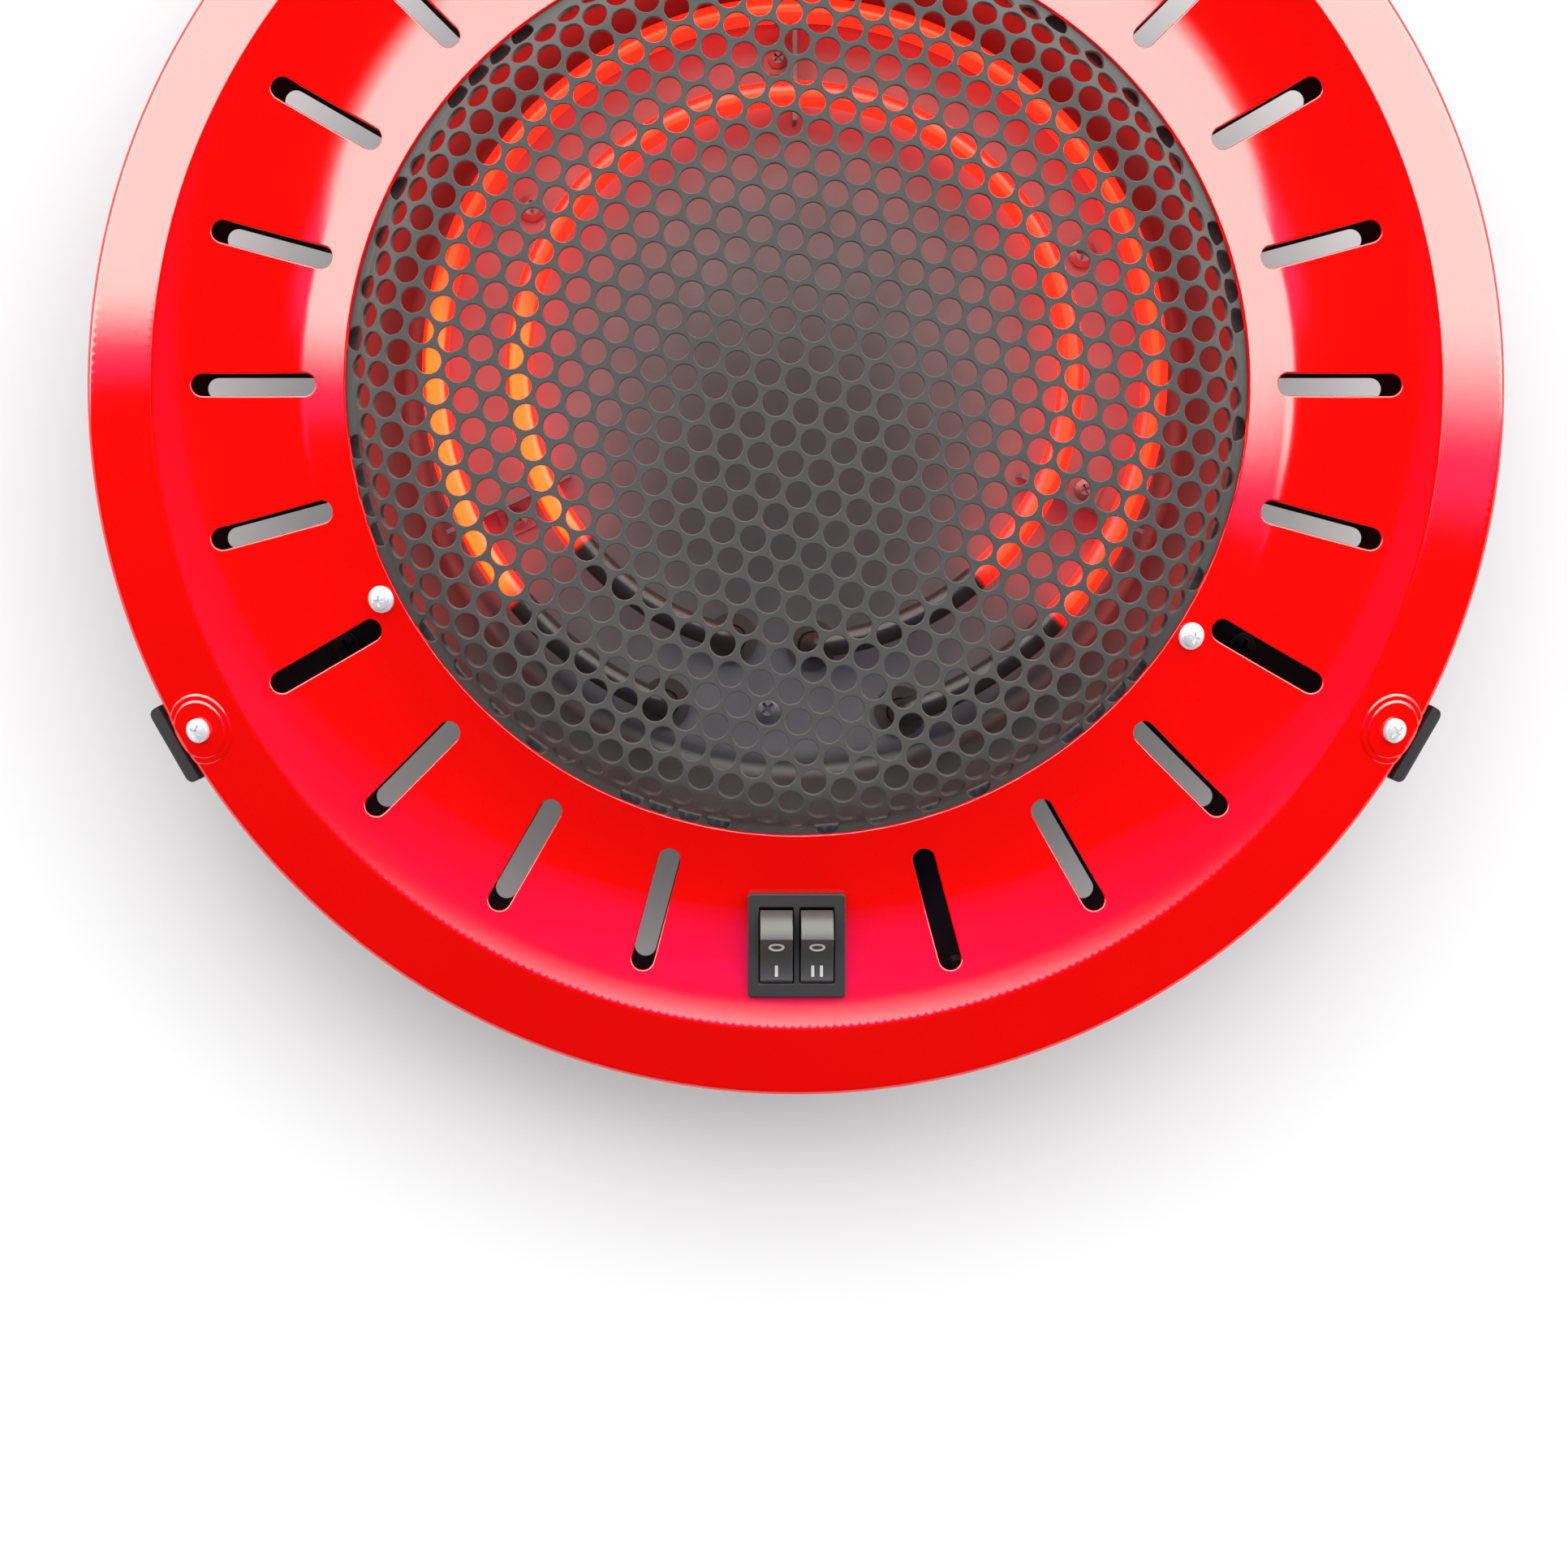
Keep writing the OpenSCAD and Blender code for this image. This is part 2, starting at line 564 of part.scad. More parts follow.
// Places of the small things on the pan
cutout_x = -32;
cutout_y = -44;
earth_x = 24;
earth_y = -48;
window_far = switch_r + 9;
window_near = pan_dish_r + 4;
box_boss_r = 3.6;
box_bosses = [for (x = [box_left + box_wall + box_boss_r, box_right - box_wall - box_boss_r],
                   y = [-box_near - box_wall - box_boss_r, -box_far + box_wall + box_boss_r])
              [x, y]];
module base_pan() color(BLACK) difference() {
  sheet(pan_path, 0, pan_t);
  for (turn = pan_slot_dirs) slot_cut(turn, pan_ring_z - 5, pan_ring_z + 5);
  round_place(foot_dirs, pan_screw_r, pan_ring_z - 5) cylinder(h = 10, r = pan_screw[0] + hole_fit);
  round_place(reflector_screw_dirs, reflector_screw_r, pan_floor_z - 5)
    cylinder(h = 10, r = pan_screw[0] + hole_fit);
  translate([-housing_w / 2 - 1, -window_far, pan_ring_z - 5])
    cube([housing_w + 2, window_far - window_near, 10]);
  for (p = box_bosses) translate([p[0], p[1], pan_ring_z - 5])
    cylinder(h = 10, r = small_screw[0] + hole_fit);
  translate([cutout_x, cutout_y, pan_floor_z - 5]) cylinder(h = 10, r = small_screw[0] + hole_fit);
  translate([earth_x, earth_y, pan_floor_z - 5]) cylinder(h = 10, r = pan_screw[0] + hole_fit);
}

// Foot, made along +X: a column outside the pan, a lip round the rim and an arm below the pan
foot_out_r = rim_r + foot_reach;
lip_in_r = rim_r + lip_gap;
lip_top_z = last(roll)[1] + 1.6;
column_in_r = foot_out_r - column_t - 6;
arm_top_z = pan_ring_z - pan_t;
arm_end_r = pan_screw_r - 8;
foot_top_drop = (plate_t + free_gap) / cos(flange_tilt);
module foot_side() {
  skirt_in = rim_r - plate_t - free_gap;
  skirt_low = skirt_end[1] - free_gap;
  polygon([
    [column_in_r, 0], [foot_out_r - 3, 0], [foot_out_r, arm_top_z - arm_h],
    [foot_out_r, lip_top_z - 1], [foot_out_r - 1, lip_top_z], [lip_in_r + 0.7, lip_top_z],
    [lip_in_r, lip_top_z - 0.7], [lip_in_r, skirt_low], [skirt_in, skirt_low],
    [skirt_in, flange_z(skirt_in) - foot_top_drop - 1.2],
    [skirt_in - 1.5, flange_z(skirt_in - 1.5) - foot_top_drop],
    [column_in_r, flange_z(column_in_r) - foot_top_drop]
  ]);
}
module foot_arm() {
  polygon([
    [arm_end_r, arm_top_z], [arm_end_r, arm_top_z - arm_h], [column_in_r - 12, arm_top_z - arm_h],
    [column_in_r + 1, arm_top_z - arm_h - 16], [column_in_r + 1, arm_top_z]
  ]);
}
module upright(w) translate([0, w / 2, 0]) rotate([90, 0, 0]) linear_extrude(w) children();
module foot() difference() {
  union() {
    intersection() {
      upright(foot_w) foot_side();
      linear_extrude(rim_r) {
        translate([column_in_r, -foot_w / 2])
          square([foot_out_r - column_in_r - foot_corner_r, foot_w]);
        translate([column_in_r, -foot_w / 2 + foot_corner_r])
          square([foot_out_r - column_in_r, foot_w - 2 * foot_corner_r]);
        for (side = [-1, 1])
          translate([foot_out_r - foot_corner_r, side * (foot_w / 2 - foot_corner_r)])
            circle(foot_corner_r);
      }
    }
    upright(arm_w) foot_arm();
  }
  on_flange(0) translate([0, 0, -16]) cylinder(h = 20, r = rim_screw[0] + shaft_fit);
  translate([pan_screw_r, 0, arm_top_z - arm_h + 1]) cylinder(h = arm_h, r = pan_screw[0] + shaft_fit);
}
module foot_rear() color(BLACK) rotate([0, 0, foot_dirs[0]]) foot();
module foot_left() color(BLACK) rotate([0, 0, foot_dirs[1]]) foot();
module foot_right() color(BLACK) rotate([0, 0, foot_dirs[2]]) foot();
module foot_screws() color(ZINC)
  for (turn = foot_dirs) on_flange(turn) translate([0, 0, 2 * pad_step_h]) screw(rim_screw, 15);
module pan_screws() color(BLACK)
  round_place(foot_dirs, pan_screw_r, pan_ring_z) screw(pan_screw, arm_h - 1);

// Switch housing: bezel with a skirt that follows the dish, and the body below it
ear_h = 4;
ear_out = cutout_gap + 0.7;
module switch_housing() color([0.2, 0.2, 0.21]) difference() {
  union() {
    difference() {
      at_switch() translate([-bezel_w / 2, -bezel_l / 2, dish_low_z - 1])
        cube([bezel_w, bezel_l, bezel_top_z - dish_low_z + 1]);
      sheet(concat([band_start, band_end], dish_in, dish_out), sheet_gap, 8);
    }
    at_switch() translate([-housing_w / 2, -housing_l / 2, housing_low_z])
      cube([housing_w, housing_l, bezel_top_z - housing_low_z - bezel_h / 2]);
    for (side = [0, 180])
      at_switch() rotate([0, 0, side]) translate([housing_w / 2, 0, dish_low_z - plate_t - free_gap])
        rotate([90, 0, 0]) linear_extrude(6, center = true)
          polygon([[-0.5, 0], [ear_out, 0], [0, -ear_h], [-0.5, -ear_h]]);
  }
  at_switch() for (x = bays) {
    translate([x - bay_w / 2, -rocker_slot_l / 2, housing_low_z + 5])
      cube([bay_w, rocker_slot_l, bezel_top_z]);
    translate([x - bay_w / 2, -bay_half_l, chamber_floor_z])
      cube([bay_w, 2 * bay_half_l, pivot_z - chamber_floor_z]);
    translate([x, 0, pivot_z]) rotate([0, 90, 0])
      cylinder(h = bay_w, r = bay_half_l, center = true, $fn = ROUND);
    translate([x, 0, pivot_z]) rotate([0, 90, 0])
      cylinder(h = bay_w + 2 * pin_len + 0.2, r = rocker_pin_r + shaft_fit, center = true);
    translate([x, 0, housing_low_z]) blade_hole();
    translate([x, switched_y, housing_low_z]) blade_hole();
  }
}
module blade_hole() {
  cube([blade_w + 2 * shaft_fit, blade_t + 2 * shaft_fit, 20], center = true);
}

// Rocker in its middle position, about its pivot
pin_len = 0.7;
rocker_end_angle = 80;
face_z = rocker_r * cos(rocker_corner)
       + sqrt(pow(rocker_face_r, 2) - pow(rocker_r * sin(rocker_corner), 2));
face_angle = asin(rocker_r * sin(rocker_corner) / rocker_face_r);
function rocker_edge(a0, a1) =
  [for (i = [0:6]) let (a = a0 + (a1 - a0) * i / 6) rocker_r * [sin(a), cos(a)]];
rocker_side = concat(
  rocker_edge(-rocker_end_angle, -rocker_corner),
  [for (i = [1:7]) let (a = face_angle * (i / 4 - 1))
    [rocker_face_r * sin(a), face_z - rocker_face_r * cos(a)]],
  rocker_edge(rocker_corner, rocker_end_angle),
  [[9, -0.6], [4, -2.6], [-4, -2.6], [-9, -0.6]]);
module rocker() difference() {
  union() {
    rotate([90, 0, 90]) linear_extrude(rocker_w, center = true) polygon(rocker_side);
    rotate([0, 90, 0])
      cylinder(h = bay_w + 2 * (pin_len - rocker_gap), r = rocker_pin_r, center = true);
    translate([0, 0, -sleeve_end]) cylinder(h = sleeve_end - 1, r = sleeve_r);
  }
  translate([0, 0, -sleeve_end - 1]) cylinder(h = sleeve_end + 2, r = plunger_r + shaft_fit);
}
plunger_top = 2.4;
module plunger() {
  translate([0, 0, -plunger_tip + 0.7]) cylinder(h = plunger_tip - 0.7 - plunger_top, r = plunger_r);
  translate([0, 0, -plunger_tip]) cylinder(h = 0.7, r1 = plunger_r * 0.5, r2 = plunger_r);
}
module plunger_spring() {
  translate([0, 0, -plunger_top]) difference() {
    cylinder(h = 1 + plunger_top, r = plunger_r - 0.1);
    translate([0, 0, -1]) cylinder(h = 6, r = plunger_r - 0.45);
  }
}
// Everything that turns with a rocker, with the front end pressed
module on_rocker(bay) {
  at_switch() translate([bays[bay], 0, pivot_z]) rotate([rocker_tilt, 0, 0]) children();
}
module rocker_left() color([0.25, 0.25, 0.26]) on_rocker(0) rocker();
module rocker_right() color([0.25, 0.25, 0.26]) on_rocker(1) rocker();
module plunger_left() color("ivory") on_rocker(0) plunger();
module plunger_right() color("ivory") on_rocker(1) plunger();
module plunger_spring_left() color(STEEL) on_rocker(0) plunger_spring();
module plunger_spring_right() color(STEEL) on_rocker(1) plunger_spring();

// Contact lever: a shallow V with a round bead below, which rocks on the common terminal's edge
lever_w = 4;
bead_r = 0.6;
module contact_lever(bay) {
  end = lever_l / 2;
  rise = end * tan(lever_rise);
  at_switch() translate([bays[bay], 0, lever_pivot_z]) rotate([-lever_tilt, 0, 0])
    rotate([90, 0, 90]) {
      linear_extrude(lever_w, center = true)
        polygon([[0, 0], [end, rise], [end, rise + lever_t], [0, lever_t],
                 [-end, rise + lever_t], [-end, rise]]);
      cylinder(h = lever_w, r = bead_r, center = true);
    }
}
module contact_lever_left() color(BRASS) contact_lever(0);
module contact_lever_right() color(BRASS) contact_lever(1);

// Terminals: knife edges under the levers on one strap, and the two switched contacts
knife_gap = 0.1;
strap_t = 0.8;
contact_z = lever_pivot_z + (lever_l / 2 - 1.2) * tan(lever_rise - lever_tilt) - 0.6;
module common_terminal() color(BRASS) at_switch() {
  for (x = bays)
    translate([x - blade_w / 2, -blade_t / 2, housing_low_z - strap_t])
      cube([blade_w, blade_t, lever_pivot_z - bead_r - knife_gap - housing_low_z + strap_t]);
  translate([bays[0] - blade_w / 2, -blade_t / 2 - 2.4, housing_low_z - strap_t - 0.05])
    cube([rocker_pitch + blade_w, blade_t + 2.4, strap_t]);
  translate([-blade_w / 2, -blade_t / 2 - 2.4, blade_end_z])
    cube([blade_w, blade_t, blade_len - 0.05]);
}
module switched_terminals() color(BRASS) at_switch()
  for (x = bays) translate([x, switched_y, 0]) {
    translate([-blade_w / 2, -blade_t / 2, blade_end_z])
      cube([blade_w, blade_t, contact_z - blade_end_z]);
    translate([-1.5, -blade_t / 2, contact_z - 0.8]) cube([3, 2.2, 0.8]);
  }

// Wiring box under the pan's ring, with the cord's gland, clamp and terminal block
box_top_z = pan_ring_z - pan_t;
box_floor_z = box_low_z + box_wall;
gland_flange_r = 8;
gland_neck_r = 6.5;
clamp_y = -box_far + 14;
clamp_screw_dx = 8.5;
clamp_post_r = 3;
module wiring_box() color(BLACK) difference() {
  union() {
    difference() {
      translate([box_left, -box_far, box_low_z])
        cube([box_right - box_left, box_far - box_near, box_top_z - box_low_z]);
      translate([box_left + box_wall, -box_far + box_wall, box_floor_z])
        cube([box_right - box_left - 2 * box_wall, box_far - box_near - 2 * box_wall, box_top_z]);
    }
    for (p = box_bosses)
      translate([p[0], p[1], box_low_z]) cylinder(h = box_top_z - box_low_z, r = box_boss_r + 0.6);
    for (side = [-1, 1])
      translate([gland_x + side * clamp_screw_dx, clamp_y, box_low_z])
        cylinder(h = gland_z - cord_r - box_low_z, r = clamp_post_r);
  }
  for (p = box_bosses)
    translate([p[0], p[1], box_top_z - 12]) cylinder(h = 13, r = small_screw[0] + shaft_fit);
  for (side = [-1, 1])
    translate([gland_x + side * clamp_screw_dx, clamp_y, box_floor_z])
      cylinder(h = box_top_z, r = small_screw[0] + shaft_fit);
  translate([gland_x, -box_far - 1, gland_z]) rotate([-90, 0, 0])
    cylinder(h = box_wall + 2, r = gland_neck_r + shaft_fit);
}
module box_screws() color(BLACK)
  for (p = box_bosses) translate([p[0], p[1], pan_ring_z]) screw(small_screw, 10);
gland_flange_t = 3;
module cord_gland() color(BLACK) translate([gland_x, -box_far, gland_z]) rotate([90, 0, 0])
  difference() {
    union() {
      translate([0, 0, sheet_gap]) cylinder(h = gland_flange_t, r = gland_flange_r);
      translate([0, 0, -box_wall - 3]) cylinder(h = box_wall + 3 + sheet_gap, r = gland_neck_r);
    }
    translate([0, 0, -box_wall - 5]) cylinder(h = 20, r = cord_r);
  }
clamp_t2 = 2.4;
clamp_z = gland_z - cord_r + sheet_gap;
module cord_clamp() color([0.85, 0.85, 0.8]) difference() {
  translate([gland_x - clamp_screw_dx - 3, clamp_y - 3, clamp_z])
    cube([2 * clamp_screw_dx + 6, 6, clamp_t2]);
  for (side = [-1, 1])
    translate([gland_x + side * clamp_screw_dx, clamp_y, clamp_z - 1])
      cylinder(h = 6, r = small_screw[0] + hole_fit);
}
module clamp_screws() color(ZINC)
  for (side = [-1, 1])
    translate([gland_x + side * clamp_screw_dx, clamp_y, clamp_z + clamp_t2]) screw(small_screw, 9);

block_x = 20;
block_y = -box_near - 12;
block_l = 24;
block_w = 9;
block_h = 11;
poles = [-8, 0, 8];
module terminal_block() color(CERAMIC) difference() {
  translate([block_x - block_l / 2, block_y - block_w / 2, box_floor_z])
    cube([block_l, block_w, block_h]);
  for (x = poles) {
    translate([block_x + x, block_y, box_floor_z + 4]) rotate([90, 0, 0])
      cylinder(h = 20, r = 1.9, center = true);
    translate([block_x + x, block_y, box_floor_z + 6])
      cylinder(h = 10, r = block_screw[0] + shaft_fit);
  }
}
module block_screws() color(ZINC)
  for (x = poles) translate([block_x + x, block_y, box_floor_z + block_h]) screw(block_screw, 4);

// Overheat cut-out on its bracket, and the earth screw, both on the pan's floor
cutout_r = 8;
cutout_h = 9;
bracket_t = 1.2;
bracket_l = 24;
cutout_dx = 13;
module cutout_bracket() color(STEEL) difference() {
  translate([cutout_x - 6, cutout_y - 6, pan_floor_z]) cube([bracket_l, 12, bracket_t]);
  translate([cutout_x, cutout_y, pan_floor_z - 1]) cylinder(h = 5, r = small_screw[0] + hole_fit);
}
module cutout_screw() color(ZINC) {
  translate([cutout_x, cutout_y, pan_floor_z + bracket_t]) screw(small_screw, 6);
  translate([cutout_x, cutout_y, pan_low_z - NUT_H]) nut(small_screw[0]);
}
cutout_z = pan_floor_z + bracket_t;
cutout_blade_z = cutout_z + 6;
module thermal_cutout() color([0.15, 0.12, 0.1]) translate([cutout_x + cutout_dx, cutout_y, cutout_z]) {
  difference() {
    cylinder(h = cutout_h, r = cutout_r);
    translate([0, 0, cutout_h - 1]) cylinder(h = 2, r = cutout_r - 2);
  }
  for (side = [-1, 1])
    translate([side * 4 - 2, -cutout_r - 6, 6]) cube([4, 7, blade_t]);
}
module earth_screw() color(BRASS)
  translate([earth_x, earth_y, pan_floor_z]) screw(pan_screw, pan_t + NUT_H + 1);
module earth_nut() color(BRASS) translate([earth_x, earth_y, pan_low_z - NUT_H]) nut(pan_screw[0]);

// Internal leads: tubes of eight sides along routes with rounded corners
lead_r = 1.1;
LEAD_SIDES = 8;
function unit(v) = v / norm(v);
function cut_corners(p) = concat([p[0]],
  [for (i = [0:len(p) - 2]) each [p[i] * 0.75 + p[i + 1] * 0.25, p[i] * 0.25 + p[i + 1] * 0.75]],
  [last(p)]);
function heading(p, i) = unit(p[min(i + 1, len(p) - 1)] - p[max(i - 1, 0)]);
function turned(side, t) = unit(side - (side * t) * t);
// The first side vector of each ring follows from the ring before it, so the tube never twists
function sides(p, i, side) = i == len(p) ? [] :
  let (s = turned(side, heading(p, i))) concat([s], sides(p, i + 1, s));
module lead(route) {
  p = cut_corners(cut_corners(route));
  first = abs(heading(p, 0) * [1, 0, 0]) < 0.9 ? [1, 0, 0] : [0, 1, 0];
  s = sides(p, 0, first);
  n = len(p);
  points = [for (i = [0:n - 1], k = [0:LEAD_SIDES - 1])
    let (a = k * 360 / LEAD_SIDES)
    p[i] + lead_r * (cos(a) * s[i] + sin(a) * cross(heading(p, i), s[i]))];
  faces = concat(
    [[for (k = [LEAD_SIDES - 1:-1:0]) k]],
    [for (i = [0:n - 2], k = [0:LEAD_SIDES - 1]) each
      let (a = i * LEAD_SIDES + k, b = i * LEAD_SIDES + (k + 1) % LEAD_SIDES)
      [[a, b, a + LEAD_SIDES], [b, b + LEAD_SIDES, a + LEAD_SIDES]]],
    [[for (k = [0:LEAD_SIDES - 1]) (n - 1) * LEAD_SIDES + k]]);
  polyhedron(points, faces);
}
pin_low_z = tail_z - heater_pin_len;
tip_gap = lead_r + free_gap;
// Point just outside a pin, on the side given by a direction
function by_pin(p, dir) = [p[0] + (1.3 + tip_gap) * cos(dir), p[1] + (1.3 + tip_gap) * sin(dir)];
function at_z(p, z) = [p[0], p[1], z];
function below_blade(x, y) = [x, -switch_r + y, blade_end_z - free_gap];
// Leads rise through the pan's window in lanes side by side, cross the dish's edge and go down
// inside its wall
over_z = pan_ring_z + 4;
lane_y = -box_near - 6;
dish_z = pan_ring_z - 9;
dish_y = -pan_floor_r + 2;
spacer = reflector_screw_r * [cos(reflector_screw_turn), sin(reflector_screw_turn)];
function lane(box_x, edge_x, dish_x) = [
  [box_x, lane_y, over_z], [edge_x, -pan_dish_r, over_z], [dish_x, -pan_dish_r + 7, over_z - 2]
];
function beside(p, dx, dy, z) = [p[0] + dx, p[1] + dy, z];
cutout_blades = [for (side = [-1, 1]) [cutout_x + cutout_dx + side * 4, cutout_y - cutout_r - 6]];
function at_blade(side) = at_z(cutout_blades[side], cutout_blade_z + 0.4) - [0, free_gap, 0];
block_hole_z = box_floor_z + 4;
function block_end(i) = [block_x + poles[i], block_y + block_w / 2 - 3, block_hole_z];
function block_mouth(i) = block_end(i) + [0, 5, 0];
module lead_inner() color("white") lead(concat(
  [below_blade(bays[0], switched_y), below_blade(bays[0], switched_y) - [0, 0, 4],
   [-1.6, lane_y - 6, over_z - 11], [-1.6, lane_y - 1, over_z - 11]],
  lane(-1.6, -2.2, -5),
  [[-8, dish_y, dish_z], beside(spacer, -5.1, -12.3, pan_floor_z + 8),
   beside(spacer, -6.6, -2.3, pan_floor_z + 6.5),
   at_z(by_pin(inner_ends[0], -90), pin_low_z + 3) - [0, 5, 1],
   at_z(by_pin(inner_ends[0], -90), pin_low_z + 3)]
));
module lead_outer() color("saddlebrown") lead(concat(
  [below_blade(bays[1], switched_y), below_blade(bays[1], switched_y) - [0, 0, 4],
   [6.5, lane_y - 6, over_z - 11], [6.5, lane_y - 1, over_z - 11]],
  lane(6.5, 7, 9),
  [[13, dish_y + 1, dish_z + 2], beside(outer_ends[1], -9.2, -11.4, pan_floor_z + 13),
   at_z(by_pin(outer_ends[1], -90), pin_low_z + 3) - [0, 5, 1],
   at_z(by_pin(outer_ends[1], -90), pin_low_z + 3)]
));
link_y = -inner_ring_r + 12.5;
module lead_link() color("royalblue") lead([
  at_z(by_pin(inner_ends[1], 80), pin_low_z + 3), [1, link_y - 1.5, pin_low_z + 4.5],
  [-10, link_y, pin_low_z + 5.5], beside(inner_ends[0], -1.9, 5, pin_low_z + 5.5),
  beside(inner_ends[0], -9.9, -3.5, pin_low_z + 4.5),
  at_z(by_pin(outer_ends[0], 60), pin_low_z + 3)
]);
module lead_neutral() color("royalblue") lead(concat(
  [block_end(0), block_mouth(0), [10.5, lane_y + 0.5, box_floor_z + 8],
   [-3, lane_y + 0.5, box_floor_z + 11.5], [-7.6, lane_y, over_z - 16]],
  lane(-7.6, -8.5, -11),
  [[-14, dish_y, dish_z], beside(outer_ends[0], 13.6, -14.7, pan_floor_z + 9),
   beside(outer_ends[0], 5.6, -9.7, pan_floor_z + 8),
   at_z(by_pin(outer_ends[0], -90), pin_low_z + 3)]
));
module lead_supply() color("brown") lead(concat(
  [block_end(1), block_mouth(1), [18, lane_y + 0.5, box_floor_z + 12],
   [8, lane_y, box_floor_z + 17], [1.4, lane_y, over_z - 13]],
  lane(1.4, 1.2, 0.5),
  [[0, dish_y, dish_z], beside(spacer, 6.4, -10.3, pan_floor_z + 6),
   beside(spacer, 6.4, 3.7, pan_floor_z + 4), beside(spacer, -0.6, 15.7, pan_floor_z + 4),
   [inner_ends[0][0] + 4.1, at_blade(1)[1] - 5.7, pan_floor_z + 5.5], at_blade(1)]
));
module lead_switch() color("brown") lead(concat(
  [below_blade(0, -2.4), below_blade(0, -2.4) - [0, 0, 4], [-0.5, -dish_low_r, over_z - 16],
   [-3.5, lane_y - 8, over_z - 17], [-4.6, lane_y - 1, over_z - 15]],
  lane(-4.6, -5.2, -8),
  [[-11, dish_y, dish_z], beside(inner_ends[0], 0.1, -30.5, pan_floor_z + 6),
   beside(inner_ends[0], -6.9, -13.5, pan_floor_z + 4),
   beside(inner_ends[0], -7.4, 2.5, pan_floor_z + 5), at_blade(0)]
));
module lead_earth() color("limegreen") lead(concat(
  [block_end(2), block_mouth(2), [26, lane_y + 0.5, box_floor_z + 14],
   [13, lane_y, over_z - 13]],
  lane(11, 11.5, 12.5),
  [[14, dish_y - 1, dish_z - 2], [16, dish_y + 5, pan_floor_z + 4],
   [20, dish_y + 17, pan_floor_z + 2.5], [earth_x - 1, earth_y - 22, pan_floor_z + 2.5],
   [earth_x, earth_y - pan_screw[1] - tip_gap - 4, pan_floor_z + 2],
   [earth_x, earth_y - pan_screw[1] - free_gap, pan_floor_z + 1.6]]
));

top_plate();
grille();
grille_screws();
grille_nuts();
reflector();
reflector_screws();
reflector_spacers();
reflector_nuts();
heater_inner();
heater_outer();
heater_bushes();
heater_pins();
tube_supports();
support_screws();
support_nuts();
base_pan();
foot_rear();
foot_left();
foot_right();
foot_screws();
pan_screws();
switch_housing();
rocker_left();
rocker_right();
plunger_left();
plunger_right();
plunger_spring_left();
plunger_spring_right();
contact_lever_left();
contact_lever_right();
common_terminal();
switched_terminals();
wiring_box();
box_screws();
cord_gland();
cord_clamp();
clamp_screws();
terminal_block();
block_screws();
thermal_cutout();
cutout_bracket();
cutout_screw();
earth_screw();
earth_nut();
lead_supply();
lead_switch();
lead_inner();
lead_outer();
lead_link();
lead_neutral();
lead_earth();
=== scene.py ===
from math import asin, atan2, ceil, cos, hypot, pi, radians, sin, sqrt, tan

import bmesh
import bpy
import numpy as np
from bpy.props import FloatProperty, FloatVectorProperty, IntProperty, PointerProperty
from mathutils import Matrix, Vector
from mathutils.geometry import delaunay_2d_cdt


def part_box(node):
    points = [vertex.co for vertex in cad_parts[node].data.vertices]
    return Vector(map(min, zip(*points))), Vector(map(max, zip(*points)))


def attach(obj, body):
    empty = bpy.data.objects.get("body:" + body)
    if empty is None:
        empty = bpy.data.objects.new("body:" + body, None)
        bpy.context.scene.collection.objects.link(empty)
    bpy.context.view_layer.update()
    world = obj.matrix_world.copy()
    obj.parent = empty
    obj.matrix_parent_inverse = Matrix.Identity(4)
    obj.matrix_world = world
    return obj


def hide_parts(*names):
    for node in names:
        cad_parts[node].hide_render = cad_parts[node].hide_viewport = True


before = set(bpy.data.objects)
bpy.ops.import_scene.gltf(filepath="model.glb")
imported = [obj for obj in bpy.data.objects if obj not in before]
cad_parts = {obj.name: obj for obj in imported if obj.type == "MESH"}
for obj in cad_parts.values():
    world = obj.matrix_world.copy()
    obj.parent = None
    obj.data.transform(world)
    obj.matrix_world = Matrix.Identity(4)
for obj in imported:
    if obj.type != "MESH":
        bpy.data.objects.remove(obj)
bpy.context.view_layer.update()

bl_info = {
    "name": "Electric brazier",
    "version": (1, 0, 0),
    "blender": (4, 5, 0),
    "location": "View3D > Sidebar > Brazier",
    "description": "Dresses the solid model of a round electric brazier with its finishes",
    "category": "Object",
}

MM = 0.001
FOOT_DIRECTIONS = {"foot_rear": 90, "foot_left": 210, "foot_right": 330}
FOOT_TURNS = [radians(direction) for direction in FOOT_DIRECTIONS.values()]
SWITCH_DIRECTION = 270
BOX_SLOT_DIRECTION = 285


# Kinds of property

def length(name, description, default):
    return FloatProperty(name=name, description=description, default=default, min=0.0,
                         precision=5, subtype="DISTANCE", unit="LENGTH")


def angle(name, description, default):
    return FloatProperty(name=name, description=description, default=radians(default),
                         subtype="ANGLE", unit="ROTATION")


def colour(name, description, default):
    return FloatVectorProperty(name=name, description=description, default=default, size=3,
                               min=0.0, max=1.0, subtype="COLOR")


def amount(name, description, default):
    return FloatProperty(name=name, description=description, default=default, min=0.0)


# Sizes and colours

